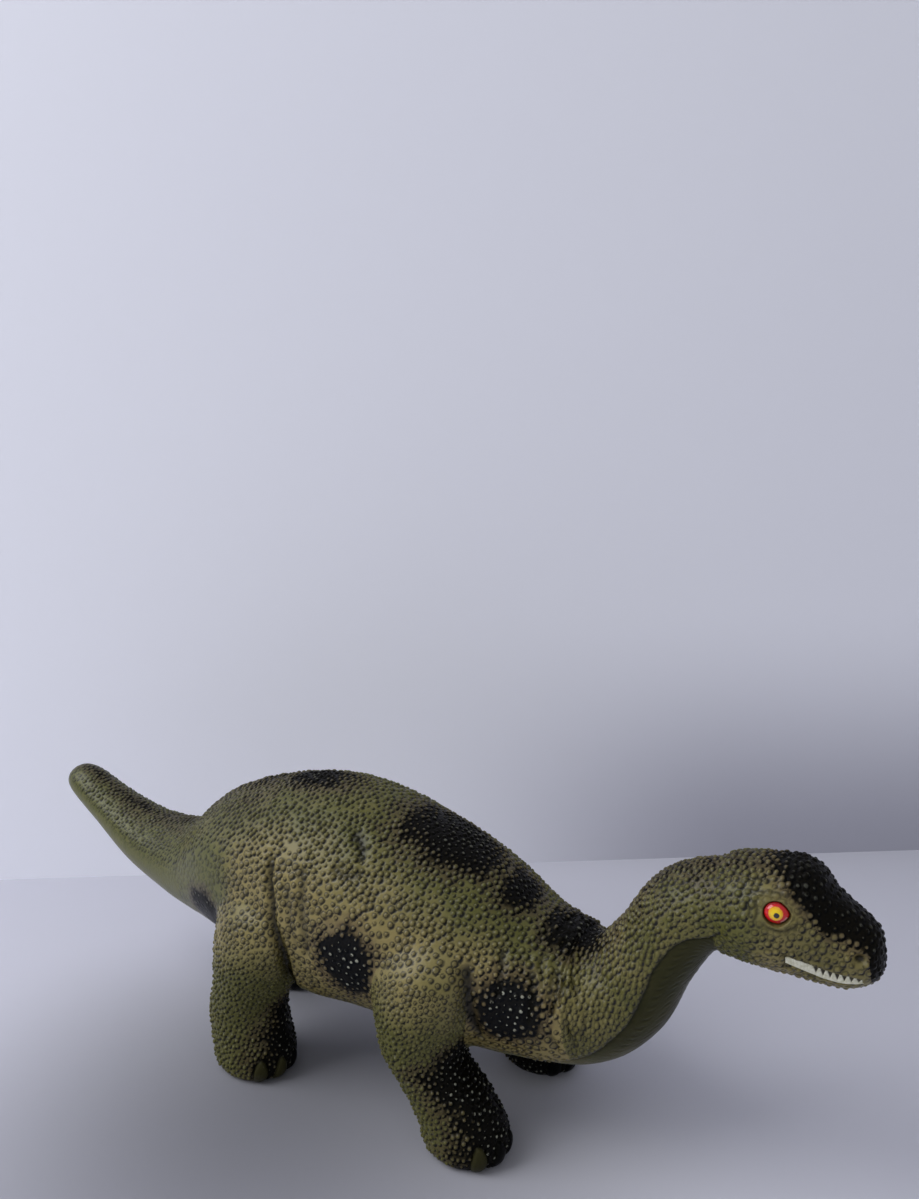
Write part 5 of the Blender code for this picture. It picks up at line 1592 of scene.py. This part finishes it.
    def land(self, quads: Array, points: Array, rim: Array) -> tuple[Array, Array]:
        """Builds the flat land in the belly that carries the sound unit.

        Args:
            quads: the torso's faces.
            points: its corners, of which the rim's are moved onto the recess's circle.
            rim: the corners round the opening, in order.

        Returns:
            The faces and corners with the recess's wall and the land added.
        """
        turn = np.arctan2(points[rim, 1], points[rim, 0])
        ring = np.column_stack([np.cos(turn), np.sin(turn)])
        points[rim, :2] = ring * self.recess_radius
        rows = [rim]
        top = self.land_height + self.land_thickness
        for radius, height in (
            (self.recess_radius, self.land_height - 0.6),
            (self.recess_radius - 0.6, self.land_height),
            (self.hole_radius, self.land_height),
            (self.hole_radius, top),
            (self.recess_radius, top),
        ):
            rows.append(np.arange(len(points), len(points) + len(rim)))
            level = np.full((len(rim), 1), height)
            points = np.vstack([points, np.hstack([ring * radius, level])])
        made = [quads]
        for low, high in zip(rows, rows[1:]):
            made.append(np.column_stack([low, np.roll(low, -1), np.roll(high, -1), high]))
        return np.vstack(made), points

    @staticmethod
    def rims(quads: Array) -> list[Array]:
        """The open edges of a mesh as closed loops, each turning as the cap over it does."""
        pairs = np.concatenate([quads[:, [i, (i + 1) % 4]] for i in range(4)]).astype(np.int64)
        size = pairs.max() + 1
        lone = ~np.isin(pairs @ (size, 1), pairs @ (1, size))
        onward: dict[int, list[int]] = {}
        for a, b in pairs[lone].tolist():
            onward.setdefault(b, []).append(a)
        loops = []
        while onward:
            start = next(iter(onward))
            loop, here = [start], start
            while True:
                ways = onward[here]
                following = ways.pop()
                if not ways:
                    del onward[here]
                if following == start or following not in onward:
                    break
                loop.append(following)
                here = following
            if len(loop) > 2:
                loops.append(np.array(loop))
        return loops


PAINT_NAMES = ("paint", "tan", "smooth", "throat", "nail", "fold", "pits", "worn", "clear")


@dataclass
class Eyes:
    """The two glossy eye inserts."""

    form: EyeForm = field(default_factory=EyeForm)
    iris: tuple[float, float, float] = (-0.65, 0.65, 3.0)
    pupil: tuple[float, float, float] = (-0.30, 0.05, 1.25)
    flattening: float = 0.92
    foot: float = -2.0

    def material(self) -> Material:
        """Builds the painted eye: a red surround with a painted pinkish highlight, a yellow iris with an
        orange edge, and a black pupil.
        """
        made, nodes, shader = new_material("painted_eye")
        place = nodes.add("ShaderNodeAttribute", attribute_name="eye_place").outputs["Vector"]
        brush = nodes.times(nodes.minus(nodes.noise(place, 1.1), 0.5), 0.5)

        def disc(spot: tuple[float, float, float], blur: float) -> Socket:
            """1 inside a painted disc."""
            gap = nodes.distance(place, (spot[0], spot[1], 0.0))
            return nodes.rise(nodes.plus(gap, brush), spot[2] + blur, spot[2] - blur)

        rim = nodes.attribute("rim")
        base = nodes.mix(nodes.rise(rim, 0.88, 1.0), colour("d30a16"), colour("8f0a12"))
        # A painted highlight: a pinkish crescent low at the front of the red surround
        low = nodes.distance(place, (3.1, -2.3, 0.0))
        highlight_arc = nodes.times(nodes.rise(rim, 0.66, 0.76), nodes.rise(rim, 0.92, 0.84))
        highlight_arc = nodes.times(highlight_arc, nodes.rise(low, 2.4, 1.4))
        base = nodes.mix(nodes.times(highlight_arc, 0.75), base, colour("f0b8b4"))
        base = nodes.mix(disc(self.iris, 0.3), base, colour("ffd712"))
        ring = nodes.minus(disc(self.iris, 0.3), disc((*self.iris[:2], self.iris[2] - 0.8), 0.5))
        base = nodes.mix(nodes.times(ring, 0.4), base, colour("f07a16"))
        base = nodes.mix(disc(self.pupil, 0.22), base, colour("120e08"))
        nodes.put(shader.inputs["Base Color"], base)
        nodes.put(shader.inputs["Roughness"], nodes.line(nodes.noise(place, 4.0), 0.06, 0.09))
        shader.inputs["Coat Weight"].default_value = 0.6
        shader.inputs["Coat Roughness"].default_value = 0.05
        return made

    def build(self) -> None:
        """Makes both eyes and puts them in their sockets."""
        finish = self.material()
        form = self.form
        angle = 2 * np.pi * np.arange(form.segments) / form.segments
        unit = np.column_stack([np.cos(angle), np.sin(angle)])
        edge = 1 / form.share(unit[:, 0] * 0.001, unit[:, 1] * 0.001)
        for _ in range(30):
            edge = edge / form.share(unit[:, 0] * edge, unit[:, 1] * edge)
        outline = unit * edge[:, None]
        shares = np.sin(np.linspace(0, math.pi / 2, form.rings + 1))[1:]
        rows, rims = [], []
        for share in shares:
            height = form.dome * math.sqrt(max(1 - share**2, 0)) * self.flattening
            rows.append(np.column_stack([outline * share, np.full(form.segments, height)]))
            rims.append(np.full(form.segments, share))
        for share, height in ((1.0, -1.2), (0.4, self.foot)):
            rows.append(np.column_stack([outline * share, np.full(form.segments, height)]))
            rims.append(np.ones(form.segments))
        local = np.vstack([*rows, [[0, 0, form.dome * self.flattening]], [[0, 0, self.foot]]])
        rim = np.concatenate([*rims, [0.0, 1.0]])
        size = form.segments
        j = np.arange(size)
        k = (j + 1) % size
        quads = [
            np.column_stack([i * size + j, (i + 1) * size + j, (i + 1) * size + k, i * size + k])
            for i in range(len(rows) - 1)
        ]
        last = (len(rows) - 1) * size
        top, foot = len(local) - 2, len(local) - 1
        caps = [
            np.column_stack([j, k, np.full(size, top)]),
            np.column_stack([last + k, last + j, np.full(size, foot)]),
        ]
        turned = np.array(form.matrix())
        right = local @ turned[:3, :3].T + turned[:3, 3]
        for side, name in ((1, "right_eye"), (-1, "left_eye")):
            points = right * (1, side, 1)
            sets = [np.vstack(quads), np.vstack(caps)]
            if side < 0:
                sets = [faces[:, ::-1] for faces in sets]
            mesh = mesh_from(f"{name}_insert", points, *sets)
            store(mesh, "eye_place", local * (1, 1, 0))
            store(mesh, "rim", rim)
            mesh.materials.append(finish)
            made = new_object(f"{name}_insert", mesh)
            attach(made, "toy")
            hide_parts(name)
            log.info("%s: %d corners", made.name, len(points))


@dataclass
class Mouth:
    """The cream bands of teeth along both sides of the mouth."""

    form: MouthForm = field(default_factory=MouthForm)
    head: HeadForm = field(default_factory=HeadForm)
    columns: int = 260
    rows: int = 18
    tooth_pitch: float = 2.9
    first_gap: float = 241.5
    thickness: float = 0.9

    def material(self) -> Material:
        """Builds the cream paint, dark in the gaps between the teeth."""
        made, nodes, shader = new_material("tooth_paint")
        grain = mottled(nodes, 1400.0)
        cream = nodes.mix(grain.outputs["Tone"], colour("f0eed8"), colour("cfccae"))
        gap = nodes.attribute("gap")
        nodes.put(shader.inputs["Base Color"], nodes.mix(gap, cream, colour("3a3626")))
        nodes.put(shader.inputs["Roughness"], nodes.line(gap, 0.2, 0.42))
        inputs = {"Strength": 0.3, "Distance": 0.0002, "Height": grain.outputs["Grain"]}
        bump = nodes.add("ShaderNodeBump", inputs)
        nodes.put(shader.inputs["Normal"], bump)
        return made

    def gaps(self, x: Array, height: Array) -> Array:
        """The dark notches between the front teeth, from 0 to 1.

        Args:
            x: how far along the snout.
            height: the share up the band.

        Returns:
            1 in a notch.
        """
        phase = (x - self.first_gap) / self.tooth_pitch
        near = np.abs(phase - np.round(phase))
        width = 0.30 * np.clip((height - 0.34) / 0.5, 0, 1)
        notch = smoothstep(0.05, -0.05, near - width) * smoothstep(0.34, 0.44, height)
        return notch * smoothstep(self.first_gap - 2.2, self.first_gap - 0.6, x)

    def build(self) -> None:
        """Makes the band on each side."""
        finish = self.material()
        x = np.linspace(229.2, 261.0, self.columns)[:, None] * np.ones((1, self.rows))
        high, low = self.form.limits(x)
        share = np.linspace(0, 1, self.rows)[None, :] * np.ones((self.columns, 1))
        z = low - 0.5 + (high - low + 1.0) * share
        gap = self.gaps(x, share)
        phase = (x - self.first_gap) / self.tooth_pitch
        groove = bell(phase - np.round(phase), 0, 0.10) * smoothstep(0.15, 0.35, share)
        lip = 0.35 * bell(share, 0.17, 0.13)
        tuck = smoothstep(0.08, 0.0, share) + smoothstep(0.94, 1.0, share)
        inset = self.form.inset + 0.55 * gap + 0.18 * groove - lip + 0.9 * tuck
        y = self.head.side_at(x, z) - inset
        back = self.head.side_at(x, z) - self.form.inset - self.thickness - 0.6
        front = np.stack([x, -y, z], axis=2).reshape(-1, 3)
        rear = np.stack([x, -back, z], axis=2).reshape(-1, 3)
        points = np.vstack([front, rear])
        count = self.columns * self.rows
        number = np.arange(count).reshape(self.columns, self.rows)
        corners = (number[:-1, :-1], number[1:, :-1], number[1:, 1:], number[:-1, 1:])
        a, b, c, d = [part.ravel() for part in corners]
        faces = [np.column_stack([a, b, c, d]), np.column_stack([d, c, b, a]) + count]
        border = np.concatenate([number[:, 0], number[-1, 1:], number[-2::-1, -1], number[0, -2:0:-1]])
        onward = np.roll(border, -1)
        faces.append(np.column_stack([onward, border, border + count, onward + count]))
        for side, name in ((1, "right"), (-1, "left")):
            quads = np.vstack(faces)
            if side < 0:
                quads = quads[:, ::-1]
            mesh = mesh_from(f"{name}_teeth", points * (1, side, 1), quads)
            store(mesh, "gap", np.concatenate([gap.ravel(), gap.ravel()]))
            mesh.materials.append(finish)
            made = new_object(f"{name}_teeth", mesh)
            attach(made, "toy")
            log.info("%s: %d corners", made.name, len(points))


@dataclass
class SoundUnit:
    """The push-button sound unit in the belly, whose solids stay and are dressed."""

    finishes: dict[str, PlainFinish] = field(
        default_factory=lambda: {
            "black": PlainFinish("moulded_black", "1c1c1d", "121213", 0.42),
            "red": PlainFinish("moulded_red", "a82018", "8c1812", 0.34),
            "rubber": PlainFinish("carbon_rubber", "26262a", "1a1a1c", 0.85),
            "steel": PlainFinish("plated_steel", "c4c4c6", "a2a2a5", 0.26, 1.0, 500.0, 0.00002),
            "board": PlainFinish("solder_mask", "1b6136", "144a29", 0.38),
            "brass": PlainFinish("sheet_brass", "d9b566", "b8924a", 0.3, 1.0, 500.0, 0.00002),
            "paper": PlainFinish("pressed_paper", "2a2a2a", "1b1b1b", 0.85, 0.0, 1500.0, 0.0001),
        }
    )
    nodes: dict[str, str] = field(
        default_factory=lambda: {
            "sound_unit_cover": "black",
            "sound_unit_case": "black",
            **{f"cover_screw_{number}": "steel" for number in range(1, 5)},
            "push_button": "red",
            "contact_pad": "rubber",
            "button_spring": "steel",
            "circuit_board": "board",
            "sound_chip": "rubber",
            "cell_tray": "black",
            **{f"battery_cell_{number}": "steel" for number in range(1, 4)},
            "cell_strap": "brass",
            "speaker_magnet": "steel",
            "speaker_basket": "steel",
            "speaker_cone": "paper",
            **{f"speaker_lead_{number}": "brass" for number in range(1, 3)},
        }
    )

    def dress(self) -> None:
        """Gives each solid its finish."""
        made = {name: finish.material() for name, finish in self.finishes.items()}
        for node, name in self.nodes.items():
            solid = frame["nodes"][node]
            if not solid.material_slots:
                solid.data.materials.append(made[name])
            for used in solid.material_slots:
                used.material = made[name]
            log.info("%s: %s", node, name)


@dataclass
class Studio:
    """The pale table, the wall behind it, the soft lamps and the camera."""

    camera_place: tuple[float, float, float] = (0.288, -0.433, 0.351)
    camera_heading: tuple[float, float] = (-0.482, 0.876)
    camera_pitch: float = math.radians(7.7)
    lens: float = 27.653
    wall_foot: tuple[tuple[float, float], tuple[float, float]] = ((-0.433, 0.044), (0.268, 0.504))
    reach: float = 4.0
    wall_height: float = 3.0
    # Name, place, size, watts and tint
    lights: tuple[tuple, ...] = (
        ("window", (-1.1, -0.85, 1.35), 1.5, 26.5, (0.97, 0.98, 1.0)),
        ("room", (0.9, -1.2, 1.5), 1.6, 2.0, (1.0, 0.98, 0.95)),
    )
    lit_spot: tuple[float, float, float] = (0.0, 0.0, 0.09)
    sky: tuple[float, float, float, float] = (0.84, 0.86, 0.90, 1.0)
    sky_strength: float = 0.40
    # Painted light: how much paler the wall looks to the camera than it is lit, by a glow
    wall_painted_glow: float = 0.13
    # The middle of the shadow painted on the table before the toy, and how far it reaches
    painted_shadow_place: tuple[float, float, float] = (-0.03, -0.09, 0.0)
    painted_shadow_reach: float = 0.27

    def build(self) -> None:
        """Sets the stage, the lamps and the camera."""
        self.floor()
        self.wall()
        self.lamps()
        self.camera()
        bpy.context.scene.view_settings.view_transform = "Standard"

    def floor(self) -> None:
        """Lays the table's plain cloth, with a soft shadow painted on it before the toy."""
        made, nodes, shader = new_material("table_cloth")
        place = nodes.place()
        tone = nodes.mix(nodes.noise(place, 2.2, 1.0), colour("d9d9e4"), colour("d1d1dd"))
        # Painted shadow: the cloth darkens towards the spot before the toy
        near = nodes.distance(place, self.painted_shadow_place)
        tone = nodes.mix(nodes.rise(near, 0.0, self.painted_shadow_reach), colour("87878f"), tone)
        nodes.put(shader.inputs["Base Color"], tone)
        shader.inputs["Roughness"].default_value = 0.9
        r = self.reach * METRE
        points = np.array([(-r, -r, 0), (r, -r, 0), (r, r, 0), (-r, r, 0)], float)
        mesh = mesh_from("table", points, np.array([[0, 1, 2, 3]]))
        mesh.materials.append(made)
        new_object("table", mesh)

    def wall(self) -> None:
        """Hangs the wall's cloth, which shows from its front alone, with painted shade low on its right and
        a painted glow that the camera alone sees.
        """
        made, nodes, shader = new_material("wall_cloth")
        place = nodes.place()
        a, b = [np.array(spot) * METRE for spot in self.wall_foot]
        way = (b - a) / np.linalg.norm(b - a)
        along = nodes.dot(place, (*way, 0.0))
        height = nodes.add("ShaderNodeSeparateXYZ", {0: place}).outputs["Z"]
        # Painted shade: the wall darkens low down towards its right
        low = nodes.times(nodes.rise(height, 0.24, 0.0), nodes.rise(along, -0.04, 0.34))
        tone = nodes.mix(nodes.noise(place, 1.4, 1.0), colour("edeef7"), colour("e4e5f0"))
        tone = nodes.mix(nodes.times(low, 0.85), tone, colour("8e8e9c"))
        nodes.put(shader.inputs["Base Color"], tone)
        # Painted light: the wall glows for the camera alone, so it looks paler than the lamps light it
        nodes.put(shader.inputs["Emission Color"], tone)
        seen = nodes.add("ShaderNodeLightPath").outputs["Is Camera Ray"]
        nodes.put(shader.inputs["Emission Strength"], nodes.times(seen, self.wall_painted_glow))
        shader.inputs["Roughness"].default_value = 0.95
        clear = nodes.add("ShaderNodeBsdfTransparent")
        behind = nodes.add("ShaderNodeNewGeometry").outputs["Backfacing"]
        shown = nodes.add("ShaderNodeMixShader", {0: behind, 1: shader.outputs[0], 2: clear.outputs[0]})
        nodes.put(made.node_tree.nodes["Material Output"].inputs["Surface"], shown)
        a, b = a - way * self.reach * METRE, b + way * self.reach * METRE
        high = self.wall_height * METRE
        points = np.array([(*a, 0), (*b, 0), (*b, high), (*a, high)], float)
        mesh = mesh_from("wall", points, np.array([[0, 1, 2, 3]]))
        mesh.materials.append(made)
        new_object("wall", mesh)

    def lamps(self) -> None:
        """Lights the table from a window on the left and from the pale room."""
        for name, spot, size, power, tint in self.lights:
            lamp = bpy.data.lights.new(name, "AREA")
            lamp.size = size
            lamp.energy = power
            lamp.color = tint
            made = bpy.data.objects.new(name, lamp)
            made.location = spot
            aim = Vector(self.lit_spot) - Vector(spot)
            made.rotation_mode = "QUATERNION"
            made.rotation_quaternion = aim.to_track_quat("-Z", "Y")
            bpy.context.scene.collection.objects.link(made)
        world = bpy.data.worlds.new("room")
        bpy.context.scene.world = world
        world.use_nodes = True
        back = world.node_tree.nodes["Background"]
        back.inputs["Color"].default_value = self.sky
        back.inputs["Strength"].default_value = self.sky_strength

    def camera(self) -> None:
        """Puts the camera where the photograph was taken."""
        heading = math.atan2(self.camera_heading[1], self.camera_heading[0])
        flat = math.cos(self.camera_pitch)
        ahead = Vector((math.cos(heading) * flat, math.sin(heading) * flat, -math.sin(self.camera_pitch)))
        lens = bpy.data.cameras.new("camera")
        lens.lens = self.lens
        lens.sensor_width = 36.0
        lens.sensor_fit = "AUTO"
        lens.clip_start = 0.01
        made = bpy.data.objects.new("camera", lens)
        made.location = self.camera_place
        made.rotation_mode = "QUATERNION"
        made.rotation_quaternion = ahead.to_track_quat("-Z", "Y")
        bpy.context.scene.collection.objects.link(made)
        bpy.context.scene.camera = made


def clear_scene() -> None:
    """Removes the lamp, camera and cube that Blender starts with."""
    kept = {obj.name for obj in frame["nodes"].values()} | {obj.name for obj in frame["bodies"].values()}
    for found in list(bpy.data.objects):
        if found.name not in kept:
            bpy.data.objects.remove(found)


def main() -> None:
    """Builds every sub-assembly in order."""
    logging.basicConfig(level=logging.INFO, format="%(name)s: %(message)s")
    clear_scene()
    finish = VinylFinish().material()
    pieces = Hide().build(finish)
    log.info("hide: %d pieces", len(pieces))
    Eyes().build()
    Mouth().build()
    SoundUnit().dress()
    Studio().build()
    bpy.context.view_layer.update()


if __name__ == "__main__":
    main()
